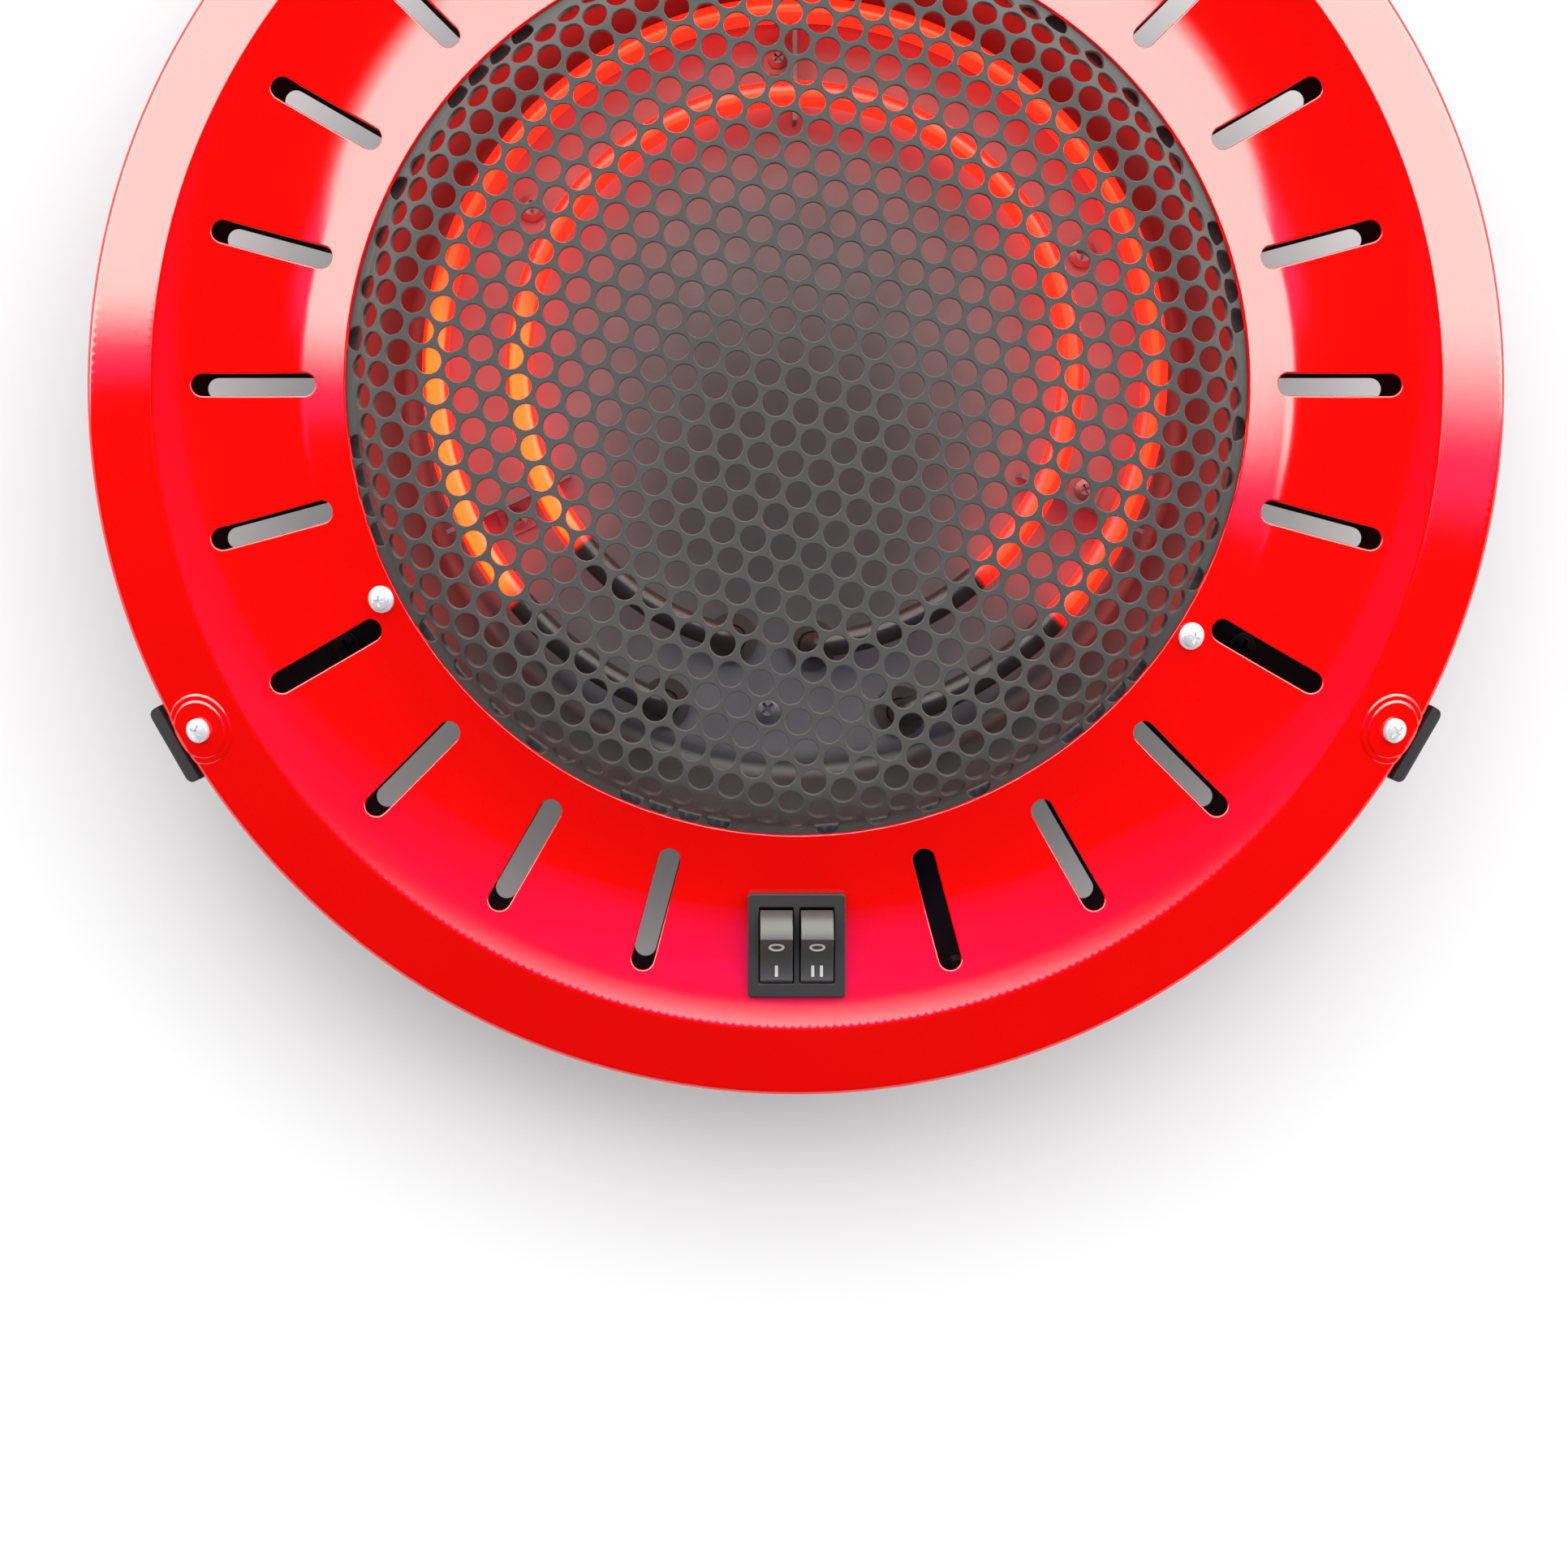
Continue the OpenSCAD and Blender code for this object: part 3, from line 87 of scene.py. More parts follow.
class PlateSizes(bpy.types.PropertyGroup):
    rim_radius: length("Rim radius", "Outer radius of the rolled rim", 0.1899)
    opening_radius: length("Opening radius", "Radius of the opening for the grille", 0.119)
    thickness: length("Thickness", "Thickness of the enamelled sheet", 0.0008)
    low_radius: length("Low radius", "Radius of the dish's lowest line", 0.147)
    low_height: length("Low height", "Height of that line above the floor", 0.068)
    band_slope: angle("Band slope", "Slope of the band that carries the grille", 20)
    band_width: length("Band width", "Width of that band, seen from above", 0.010)
    turn_radius: length("Turn radius", "Radius at which the dish begins to rise faster", 0.158)
    turn_slope: angle("Turn slope", "Slope of the dish there", 7)
    curl_start: length("Curl start", "Radius at which the dish curls up", 0.1645)
    dish_slope: angle("Dish slope", "Slope of the dish at that radius", 13.5)
    curl_bend: length("Curl bend", "Radius of the curl", 0.1327)
    curl_slope: angle("Curl slope", "Steepest slope of the curl", 16)
    ridge_bend: length("Ridge bend", "Radius of the ridge", 0.0015)
    flange_slope: angle("Flange slope", "Slope of the outer flange", 25)
    roll_bend: length("Roll bend", "Radius of the rolled rim", 0.003)
    skirt: length("Skirt", "Height of the skirt below the rim", 0.003)
    slot_start: length("Slot start", "Radius of the slots' inner ends", 0.1273)
    slot_end: length("Slot end", "Radius of the slots' outer ends", 0.1605)
    slot_width: length("Slot width", "Width of an air slot", 0.0059)
    slot_count: IntProperty(name="Slot count", description="Places round the dish", default=24)
    lip: length("Lip", "Rounding of the enamelled edges", 0.0005)
    pad_radius: length("Pad radius", "Radius of the upper step of a screw pad", 0.0078)
    pad_step: length("Pad step", "Width of the pad's lower step", 0.0017)
    pad_rise: length("Pad rise", "Height of each step of the pad", 0.0004)
    screw_radius: length("Foot screw radius", "Radius of the foot screws' circle", 0.1832)


class GrilleSizes(bpy.types.PropertyGroup):
    pitch: length("Hole pitch", "Distance between neighbouring holes", 0.00817)
    hole: length("Hole", "Diameter of a hole", 0.0067)
    turn: angle("Turn", "Turn of the rows of holes", -16)
    thickness: length("Thickness", "Thickness of the perforated sheet", 0.0010)
    crown: length("Crown radius", "Radius at which the crown turns into the shoulder", 0.1045)
    crown_slope: angle("Crown slope", "Slope of the crown at that radius", 4.8)
    shoulder: length("Shoulder", "Radius of the shoulder's bend", 0.0135)
    wall_slope: angle("Wall slope", "Slope of the wall below the shoulder", 62)
    flange: length("Flange radius", "Outer radius of the hidden flange", 0.1266)
    screw_radius: length("Screw radius", "Radius of the grille screws' circle", 0.1233)
    screw_turn: angle("Screw turn", "Direction of the first grille screw", 87.4)


class HeaterSizes(bpy.types.PropertyGroup):
    tube: length("Tube", "Diameter of the heating tubes", 0.0071)
    height: length("Height", "Height of the tubes' middle line", 0.050)
    inner_radius: length("Inner radius", "Middle-line radius of the inner ring", 0.075)
    outer_radius: length("Outer radius", "Middle-line radius of the outer ring", 0.0977)
    shift: length("Shift", "How far the rings sit behind the plate's axis", 0.005)
    elbow: length("Elbow", "Bend of the tubes' ends", 0.008)
    tail_height: length("Tail height", "Height of the tails' lower ends", 0.030)
    inner_gap: angle("Inner gap", "Direction of the inner ring's gap", -94.7)
    outer_gap: angle("Outer gap", "Direction of the outer ring's gap", -92)
    inner_half: angle("Inner half gap", "Half of the inner ring's gap", 14.5)
    outer_half: angle("Outer half gap", "Half of the outer ring's gap", 24)
    cold: length("Cold end", "Length of ring that stays cold at each end", 0.040)
    hot_direction: angle("Hot direction", "Side on which the rings glow brightest", -125)
    warming: length("Warming", "Length over which the ring reaches its full heat", 0.009)


class BowlSizes(bpy.types.PropertyGroup):
    floor_radius: length("Floor radius", "Radius of the reflector's flat floor", 0.103)
    floor_height: length("Floor height", "Height of the reflector's floor", 0.0376)
    floor_bend: length("Floor bend", "Bend at the reflector's floor", 0.005)
    wall_slope: angle("Wall slope", "Slope of the reflector's wall", 72)
    wall_top: length("Wall top", "Height at which the reflector's wall ends", 0.068)
    lip_bend: length("Lip bend", "Bend at the reflector's lip", 0.001)
    sheet: length("Sheet", "Thickness of the reflector's sheet", 0.0006)
    pan_radius: length("Pan radius", "Radius of the pan's flat floor", 0.1085)
    pan_height: length("Pan height", "Height of the pan's floor", 0.016)
    pan_bend: length("Pan bend", "Bend at the pan's floor", 0.003)
    pan_rise: length("Pan rise", "Rise of the pan's wall", 0.029)
    pan_run: length("Pan run", "Width of the pan's wall, seen from above", 0.009)
    shelf_height: length("Shelf height", "Height of the pan's shelf", 0.045)
    shelf_bend: length("Shelf bend", "Bends beside the pan's shelf", 0.002)
    pan_sheet: length("Pan sheet", "Thickness of the pan's sheet", 0.0008)


class SwitchSizes(bpy.types.PropertyGroup):
    centre: length("Centre", "Distance of the switch from the plate's axis", 0.1484)
    width: length("Width", "Width of the bezel", 0.0259)
    length: length("Length", "Length of the bezel", 0.0274)
    rise: length("Rise", "Height of the bezel above its seat", 0.0021)
    rocker_width: length("Rocker width", "Width of a rocker", 0.0086)
    rocker_pitch: length("Rocker pitch", "Distance between the rockers' middles", 0.01074)
    side_gap: length("Side gap", "Clearance at a rocker's side", 0.00025)
    slot_length: length("Slot length", "Length of a rocker's opening", 0.020)
    end_radius: length("End radius", "Radius of a rocker's ends about its pivot", 0.0112)
    corner: angle("Corner", "Half angle between a rocker's top corners", 33)
    tilt: angle("Tilt", "Tilt of a rocker at rest", 22)
    face_radius: length("Face radius", "Radius of the hollow in a rocker's face", 0.012)


class FootSizes(bpy.types.PropertyGroup):
    width: length("Width", "Width of a foot", 0.0225)
    reach: length("Reach", "How far a foot stands out past the rim", 0.0048)
    column: length("Column", "Thickness of the foot's column", 0.012)
    corner: length("Corner", "Rounding of the outer corners", 0.0022)
    lip_gap: length("Lip gap", "Gap between the rim and the foot's lip", 0.0009)
    arm_width: length("Arm width", "Width of the arm below the pan", 0.014)
    arm_depth: length("Arm depth", "Depth of the arm", 0.009)
    arm_screw: length("Arm screw", "Radius of the pan screws' circle", 0.141)
    edge: length("Edge", "Rounding of the moulded edges", 0.0006)


class Finishes(bpy.types.PropertyGroup):
    enamel: colour("Enamel", "Red of the enamelled plate", (0.82, 0.0014, 0.0006))
    grille: colour("Grille", "Heat-proof black of the grille", (0.067, 0.065, 0.062))
    pan: colour("Pan", "Black of the base pan", (0.014, 0.014, 0.015))
    plastic: colour("Plastic", "Black of the feet", (0.012, 0.012, 0.013))
    bezel: colour("Bezel", "Dark grey of the bezel", (0.036, 0.035, 0.033))
    rocker: colour("Rocker", "Dark grey of the rockers", (0.048, 0.047, 0.044))
    marks: colour("Marks", "Pale ink of the marks", (0.50, 0.50, 0.50))
    zinc: colour("Zinc", "Bright zinc of the screws", (0.86, 0.87, 0.89))
    steel: colour("Steel", "Bare sheet of the brackets", (0.70, 0.69, 0.68))
    bowl: colour("Bowl", "Heat-dulled sheet of the reflector", (0.160, 0.158, 0.154))
    ceramic: colour("Ceramic", "Pale steatite", (0.80, 0.77, 0.70))
    brass: colour("Brass", "Rolled brass", (0.72, 0.50, 0.22))
    sheath: colour("Sheath", "Oxidised sheath of the heating tubes", (0.030, 0.024, 0.022))
    glow: colour("Glow", "Red of the glowing sheath", (1.0, 0.0030, 0.0006))
    # Orange of the tubes' hotter glow and of their painted highlight line along the top.
    hot_and_highlight_orange: colour("Hot line", "Orange of its hottest line", (1.0, 0.031, 0.0030))
    glow_strength: amount("Glow strength", "Strength of the glow", 10.0)


class StageSettings(bpy.types.PropertyGroup):
    eye_height: length("Eye height", "Height of the camera above the floor", 0.835)
    eye_x: FloatProperty(name="Eye X", description="Camera's place along X", default=-0.0165,
                         subtype="DISTANCE", unit="LENGTH")
    eye_y: FloatProperty(name="Eye Y", description="Camera's place along Y", default=-0.0357,
                         subtype="DISTANCE", unit="LENGTH")
    floor: colour("Floor", "Pale floor", (0.86, 0.86, 0.87))
    plain_light: amount("Plain light", "Strength of the even light", 0.65)
    soft_light: amount("Soft light", "Strength of the large soft light behind", 2.05)
    soft_turn: angle("Soft turn", "How far the soft light stands to the right", 12)
    shine: amount("Shine", "Strength of the soft light as gloss shows it", 15.0)
    violet: amount("Violet", "Strength of the violet fringe that gloss shows", 2.0)
    card_power: amount("Card power", "Power of the violet card above the dish", 0.24)


def settings():
    return bpy.context.scene.brazier


# Sections of turned sheets

class SheetPath:
    """A turned sheet's section, walked from the inside out. Each row holds the length along
    it, the radius, the height and the slope, which is positive where the sheet falls outwards."""

    def __init__(self, radius, height, slope=0.0):
        self.rows = [(radius, radius, height, slope)]

    def run(self, distance, step=0.0016):
        s, r, z, a = self.rows[-1]
        count = max(1, round(distance / step))
        for i in range(1, count + 1):
            d = distance * i / count
            self.rows.append((s + d, r + d * cos(a), z - d * sin(a), a))

    def run_to(self, radius):
        _, r, _, a = self.rows[-1]
        self.run((radius - r) / cos(a))

    def rise_to(self, height, step=0.0016):
        _, _, z, a = self.rows[-1]
        self.run((height - z) / -sin(a), step)

    def bend(self, bend_radius, slope, steps):
        s, r, z, a = self.rows[-1]
        side = 1.0 if slope > a else -1.0
        for i in range(1, steps + 1):
            b = a + (slope - a) * i / steps
            self.rows.append((s + bend_radius * abs(b - a),
                              r + side * bend_radius * (sin(b) - sin(a)),
                              z + side * bend_radius * (cos(b) - cos(a)), b))

    def columns(self):
        return np.array(self.rows).T

    def length_at(self, radius):
        s, r, _, _ = self.columns()
        return np.interp(radius, np.maximum.accumulate(r), s)

    def height_at(self, radius):
        s, _, z, _ = self.columns()
        return np.interp(self.length_at(radius), s, z)

    def to_sheet(self, plan):
        """Points seen from above, moved outwards to their length along the section."""
        x, y = np.asarray(plan, float).T
        r = np.hypot(x, y)
        grow = np.divide(self.length_at(r), r, out=np.ones_like(r), where=r > 1e-9)
        return np.stack([x * grow, y * grow], 1)

    def place(self, points):
        """Places and normals of points of the unrolled sheet."""
        x, y = points.T
        length_along = np.hypot(x, y)
        turn = np.arctan2(y, x)
        s, r, z, a = self.columns()
        radius = np.interp(length_along, s, r)
        slope = np.interp(length_along, s, a)
        place = np.stack([radius * np.cos(turn), radius * np.sin(turn),
                          np.interp(length_along, s, z)], 1)
        normal = np.stack([np.sin(slope) * np.cos(turn), np.sin(slope) * np.sin(turn),
                           np.cos(slope)], 1)
        return place, normal


class FlatSheet:
    """A level sheet at one height."""

    def __init__(self, height):
        self.height = height

    def place(self, points):
        flat = np.full(len(points), self.height)
        up = np.zeros((len(points), 3))
        up[:, 2] = 1.0
        return np.column_stack([points, flat]), up


# Outlines of holes and edges

def around(radius, turn):
    """Place on a circle round the axis, seen from above."""
    return radius * cos(turn), radius * sin(turn)


def screw_holes(radius, turns, hole, sides):
    return [round_outline(*around(radius, turn), hole, sides) for turn in turns]


def grille_screw_turns():
    return [settings().grille.screw_turn + i * 2 * pi / 3 for i in range(3)]


def unit(rows):
    """The rows scaled to a length of one, except rows of zeros."""
    size = np.linalg.norm(rows, axis=1)
    rows[size > 0] /= size[size > 0][:, None]
    return rows


class Outline:
    """A convex outline made of points whose own normals say which way it grows."""

    def __init__(self, points, normals):
        self.points = np.asarray(points, float)
        self.normals = np.asarray(normals, float)

    def grown(self, distance):
        return self.points + self.normals * distance

    def moved(self, surface):
        """The same outline on an unrolled turned sheet."""
        near = surface.to_sheet(self.points)
        far = surface.to_sheet(self.grown(MM))
        return Outline(near, unit(far - near))

    def clear_of(self, points, gap):
        """True for the points that lie outside the outline by more than the gap."""
        edge = self.points
        centre = edge.mean(0)
        reach = np.linalg.norm(edge - centre, axis=1).max() + gap
        clear = np.ones(len(points), bool)
        near = np.flatnonzero(np.linalg.norm(points - centre, axis=1) < reach)
        if len(near):
            rel = points[near][:, None, :] - edge[None, :, :]
            clear[near] = (rel * self.normals[None]).sum(2).max(1) > gap
        return clear


def round_outline(x, y, radius, sides=24, flat=1.0):
    """A circle, or an oval whose height is the flat share of its width."""
    turn = np.arange(sides) * 2 * pi / sides
    way = np.stack([np.cos(turn), np.sin(turn)], 1)
    return Outline(way * [radius, radius * flat] + [x, y], unit(way * [flat, 1.0]))


def rounded_outline(centres, radius, sides, steps):
    """An outline round the centres of its equal round corners, the first at its lower right.

    Each corner is cut into sides and each straight edge into steps."""
    points = []
    ways = []
    sweep = 2 * pi / len(centres)
    for k, centre in enumerate(centres):
        for i in range(sides + 1):
            a = -pi / 2 + sweep * (k + i / sides)
            way = np.array([cos(a), sin(a)])
            points.append(centre + radius * way)
            ways.append(way)
        edge = centres[(k + 1) % len(centres)] - centre
        for i in range(1, steps):
            points.append(centre + radius * way + edge * i / steps)
            ways.append(way)
    return Outline(points, ways)


def slot_outline(near, far, width, turn):
    """A slot along a ray, with round ends."""
    half = width / 2
    slot = rounded_outline(np.array([(far - half, 0.0), (near + half, 0.0)]), half, 12, 14)
    spin = np.array([[cos(turn), sin(turn)], [-sin(turn), cos(turn)]])
    return Outline(slot.points @ spin, slot.normals @ spin)


def box_outline(x, y, width, height, corner, steps=6):
    """A rectangle with rounded corners."""
    across = width / 2 - corner
    along = height / 2 - corner
    centres = [(x + across, y - along), (x + across, y + along), (x - across, y + along),
               (x - across, y - along)]
    return rounded_outline(np.array(centres), corner, 5, steps)


# Meshes

def new_object(name, mesh):
    obj = bpy.data.objects.new(name, mesh)
    bpy.context.collection.objects.link(obj)
    return obj


class SheetPlan:
    """The points of a sheet's outlines and of its inside, before they are joined to faces.

    Fall says how far a point lies below the sheet's face, lean how far its normal leans
    outwards, and ways in which direction."""

    def __init__(self, outer, holes, inner, lip):
        self.points = []
        self.fall = []
        self.lean = []
        self.ways = []
        self.loops = []
        self.edges = []
        self.add_outline(outer, -1.0, lip)
        for hole in holes:
            self.add_outline(hole, 1.0, lip)
        inner = np.asarray(inner, float).reshape(-1, 2)
        level = np.zeros(len(inner))
        self.points = np.concatenate([self.points, inner])
        self.fall = np.concatenate([self.fall, level])
        self.lean = np.concatenate([self.lean, level])
        self.ways = np.concatenate([self.ways, np.zeros((len(inner), 2))])

    def add_outline(self, outline, side, lip):
        """An outline, in steps where its edge is rounded. Side is -1 for the sheet's own edge."""
        for tilt in (90, 60, 30, 0) if lip > 0 else (90,):
            a = radians(tilt)
            first = len(self.points)
            grown = outline.grown(side * lip * (1 - sin(a)))
            count = len(grown)
            self.points.extend(grown)
            self.fall.extend([lip * (1 - cos(a))] * count)
            self.lean.extend([a if lip > 0 else 0.0] * count)
            self.ways.extend(-side * outline.normals)
            self.edges.extend((first + i, first + (i + 1) % count) for i in range(count))
            if tilt == 90:
                self.loops.append(range(first, first + count))

    def triangles(self):
        """Triangles between the outlines, all turned one way, with the holes left open."""
        owner = np.full(len(self.points), -1)
        for index, loop in enumerate(self.loops):
            owner[loop.start:loop.stop] = index
        faces, origins = triangulated(self.points, self.edges)
        back = np.array([origin[0] if origin else -1 for origin in origins])
        triangles = back[np.array([face for face in faces if len(face) == 3])]
        triangles = triangles[(triangles >= 0).all(1)]
        one, two, three = owner[triangles].T
        triangles = triangles[~((one > 0) & (one == two) & (two == three))]
        a, b, c = (self.points[triangles[:, k]] for k in range(3))
        flipped = ((b - a)[:, 0] * (c - a)[:, 1] - (b - a)[:, 1] * (c - a)[:, 0]) < 0
        triangles[flipped] = triangles[flipped][:, ::-1]
        return triangles


def triangulated(points, edges):
    """Faces between points that keep the edges, and the points that each corner stands for."""
    enlarged = [Vector((point[0] / MM, point[1] / MM)) for point in points]
    found = delaunay_2d_cdt(enlarged, edges, [], 0, 1e-7)
    return found[2], found[3]


def cut_sheet(name, surface, thickness, outer, holes, inner=(), lip=0.0, raised=None,
              under=None):
    """A sheet with convex holes whose upper edges are rounded.

    The outlines and the inner points lie on the unrolled sheet. Raised gives a height and its
    slopes for points seen from above, and under gives the height of the lower side."""
    plan = SheetPlan(outer, holes, inner, lip)
    triangles = plan.triangles()
    place, normal = surface.place(plan.points)
    height = np.zeros(len(place))
    slopes = np.zeros_like(place)
    if raised:
        height, slopes[:, 0], slopes[:, 1] = raised(place[:, 0], place[:, 1])
    upper = place + normal * (height - plan.fall)[:, None]
    way = np.column_stack([plan.ways, np.zeros(len(place))])
    way = unit(way - normal * (way * normal).sum(1)[:, None])
    shown = unit(normal * np.cos(plan.lean)[:, None] + way * np.sin(plan.lean)[:, None] - slopes)
    if under is None:
        lower = place + normal * (height - thickness)[:, None]
    else:
        lower = place.copy()
        lower[:, 2] = under(place[:, 0], place[:, 1])

    count = len(place)
    walls = []
    wall_normals = []
    for index, loop in enumerate(plan.loops):
        top = np.arange(loop.start, loop.stop)
        if index == 0:
            top = top[::-1]
        after = np.roll(top, -1)
        walls.append(np.stack([top, after, after + count, top + count], 1))
        wall_normals.append(np.stack([way[top], way[after], way[after], way[top]], 1))
    walls = np.concatenate(walls)
    underside = triangles[:, ::-1]
    normals = np.concatenate([shown[triangles].reshape(-1, 3), -normal[underside].reshape(-1, 3),
                              np.concatenate(wall_normals).reshape(-1, 3)])
    faces = triangles.tolist() + (underside + count).tolist() + walls.tolist()
    used = np.unique(np.concatenate([triangles.ravel(), triangles.ravel() + count, walls.ravel()]))
    if len(used) < 2 * count:
        raise RuntimeError(f"{name} has {2 * count - len(used)} points that no face uses")
    mesh = bpy.data.meshes.new(name)
    mesh.from_pydata(np.concatenate([upper, lower]).tolist(), [], faces)
    mesh.shade_smooth()
    mesh.normals_split_custom_set(normals.tolist())
    return new_object(name, mesh)


def ring_points(path, outlines, segments, gap, first=0.0):
    """Points in rings along a path past the first length, clear of the outlines."""
    lengths = path.columns()[0][1:-1]
    turn = np.arange(segments) * 2 * pi / segments
    points = []
    for i, along in enumerate(lengths[lengths > first]):
        a = turn + (pi / segments if i % 2 else 0.0)
        points.append(np.stack([along * np.cos(a), along * np.sin(a)], 1))
    points = np.concatenate(points)
    for outline in outlines:
        points = points[outline.clear_of(points, gap)]
    return points


def smooth(obj, sharp=35):
    obj.data.shade_smooth()
    obj.data.set_sharp_from_angle(angle=radians(sharp))
    return obj


def finished(name, mesh, place=None):
    """The object of a bmesh, moved to its place, with its faces turned outwards."""
    bmesh.ops.recalc_face_normals(mesh, faces=mesh.faces)
    if place is not None:
        bmesh.ops.transform(mesh, matrix=place, verts=mesh.verts)
    data = bpy.data.meshes.new(name)
    mesh.to_mesh(data)
    mesh.free()
    return new_object(name, data)


def turned(name, section, place=None, sides=48):
    """A closed section of radii and heights, turned round the Z axis."""
    mesh = bmesh.new()
    rings = []
    for radius, height in section:
        turns = [2 * pi * i / sides for i in range(sides)] if radius > 1e-7 else [0.0]
        rings.append([mesh.verts.new((*around(radius, turn), height)) for turn in turns])
    pairs = list(zip(rings, rings[1:]))
    if len(rings[0]) > 1 or len(rings[-1]) > 1:
        pairs.append((rings[-1], rings[0]))
    for low, high in pairs:
        for i in range(sides):
            ring = [low[i % len(low)], low[(i + 1) % len(low)],
                    high[(i + 1) % len(high)], high[i % len(high)]]
            corners = list(dict.fromkeys(ring))
            if len(corners) > 2:
                mesh.faces.new(corners)
    return smooth(finished(name, mesh, place))


def prism(name, outline, low, high, place=None):
    """An outline drawn in X and Y, raised along Z."""
    mesh = bmesh.new()
    bottom = [mesh.verts.new((x, y, low)) for x, y in outline]
    top = [mesh.verts.new((x, y, high)) for x, y in outline]
    mesh.faces.new(bottom[::-1])
    mesh.faces.new(top)
    for i in range(len(outline)):
        j = (i + 1) % len(outline)
        mesh.faces.new([bottom[i], bottom[j], top[j], top[i]])
    return finished(name, mesh, place)


def block(name, low, high):
    (x0, y0, z0), (x1, y1, z1) = low, high
    return prism(name, [(x0, y0), (x1, y0), (x1, y1), (x0, y1)], z0, z1)


def bake(obj):
    """Applies the object's modifiers to its mesh."""
    graph = bpy.context.evaluated_depsgraph_get()
    mesh = bpy.data.meshes.new_from_object(obj.evaluated_get(graph), preserve_all_data_layers=True,
                                           depsgraph=graph)
    obj.modifiers.clear()
    old = obj.data
    obj.data = mesh
    bpy.data.meshes.remove(old)
    return obj


def combine(obj, other, operation):
    cut = obj.modifiers.new("cut", "BOOLEAN")
    cut.operation = operation
    cut.solver = "EXACT"
    cut.object = other
    bake(obj)
    bpy.data.objects.remove(other)
    return obj


def rounded(obj, width, segments=3, limit=35):
    """Rounds the edges and keeps the flat faces flat."""
    bevel = obj.modifiers.new("round", "BEVEL")
    bevel.width = width
    bevel.segments = segments
    bevel.limit_method = "ANGLE"
    bevel.angle_limit = radians(limit)
    bevel.harden_normals = True
    bevel.miter_outer = "MITER_ARC"
    obj.data.shade_smooth()
    return bake(obj)


def join(name, objects):
    first = objects[0]
    with bpy.context.temp_override(active_object=first, selected_editable_objects=objects):
        bpy.ops.object.join()
    first.name = name
    first.data.name = name
    return first


def place_at(turn, radius, height, tilt=0.0):
    """Frame on a circle round the axis, leaning outwards by the tilt."""
    return (Matrix.Rotation(turn, 4, "Z") @ Matrix.Translation((radius, 0.0, height))
            @ Matrix.Rotation(tilt, 4, "Y"))


# Paths of the sheets

def plate_path():
    p = settings().plate
    dish_bend = (p.low_radius - p.opening_radius - p.band_width) / sin(p.band_slope)
    band_end = p.low_height + dish_bend * (1 - cos(p.band_slope))
    start = band_end + p.band_width * tan(p.band_slope)
    path = SheetPath(p.opening_radius, start, p.band_slope)
    path.run_to(p.opening_radius + p.band_width)
    path.bend(dish_bend, 0.0, 14)
    path.bend((p.turn_radius - p.low_radius) / sin(p.turn_slope), -p.turn_slope, 9)
    path.bend((p.curl_start - p.turn_radius) / (sin(p.dish_slope) - sin(p.turn_slope)),
              -p.dish_slope, 6)
    path.bend(p.curl_bend, -p.curl_slope, 7)
    path.bend(p.ridge_bend, p.flange_slope, 8)
    path.run_to(p.rim_radius - p.roll_bend * (1 - sin(p.flange_slope)))
    path.bend(p.roll_bend, pi / 2, 8)
    path.run(p.skirt)
    return path


def grille_path():
    """From the crown's middle to the flange below the plate's inner band."""
    p = settings().plate
    g = settings().grille
    root_bend = 2.0 * MM
    wall_gap = 1.8 * MM
    under_band = (p.thickness + 0.05 * MM) / cos(p.band_slope)
    foot_z = plate_path().height_at(p.opening_radius) + wall_gap * tan(p.band_slope) - under_band
    path = SheetPath(0.0, 0.0)
    path.bend(g.crown / sin(g.crown_slope), g.crown_slope, 60)
    path.bend(g.shoulder, g.wall_slope, 14)
    root_run = root_bend * (sin(g.wall_slope) - sin(p.band_slope))
    path.run_to(p.opening_radius - wall_gap - root_run)
    path.bend(root_bend, p.band_slope, 5)
    lift = foot_z - path.rows[-1][2]
    path.rows = [(s, r, z + lift, a) for s, r, z, a in path.rows]
    path.run_to(g.flange)
    return path


def reflector_path():
    b = settings().bowl
    path = SheetPath(0.0, b.floor_height)
    path.run(b.floor_radius, 4 * MM)
    path.bend(b.floor_bend, -b.wall_slope, 8)
    path.rise_to(b.wall_top, 3 * MM)
    path.bend(b.lip_bend, 0.0, 4)
    path.run_to(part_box("reflector")[1][0] - 0.1 * MM)
    return path


def pan_path():
    b = settings().bowl
    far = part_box("base_pan")[1]
    wall = atan2(b.pan_rise, b.pan_run)
    path = SheetPath(0.0, b.pan_height)
    path.run(b.pan_radius, 5 * MM)
    path.bend(b.pan_bend, -wall, 6)
    path.rise_to(b.shelf_height - b.shelf_bend * (1 - cos(wall)), 3 * MM)
    path.bend(b.shelf_bend, 0.0, 5)
    path.run_to(far[0] - 3.5 * MM)
    path.bend(b.shelf_bend, -pi / 2, 6)
    path.rise_to(far[2])
    return path


def slot_outlines(skip=()):
    p = settings().plate
    directions = [i * 360 / p.slot_count for i in range(p.slot_count)]
    return [slot_outline(p.slot_start, p.slot_end, p.slot_width, radians(direction))
            for direction in directions if direction not in (SWITCH_DIRECTION, *skip)]


# Shader node groups and materials

def add_node(tree, kind, place, values=None, **options):
    node = tree.nodes.new(kind)
    node.location = place
    for key, value in options.items():
        setattr(node, key, value)
    for socket, value in (values or {}).items():
        node.inputs[socket].default_value = value
    return node


def feed(tree, value, socket):
    """Gives a socket a value, or a link from another socket."""
    if isinstance(value, bpy.types.NodeSocket):
        tree.links.new(value, socket)
    else:
        socket.default_value = value


def wire(tree, *links):
    """Links outputs to inputs. Each link says the node and output, and the node and input."""
    for node, output, target, socket in links:
        tree.links.new(node.outputs[output], target.inputs[socket])


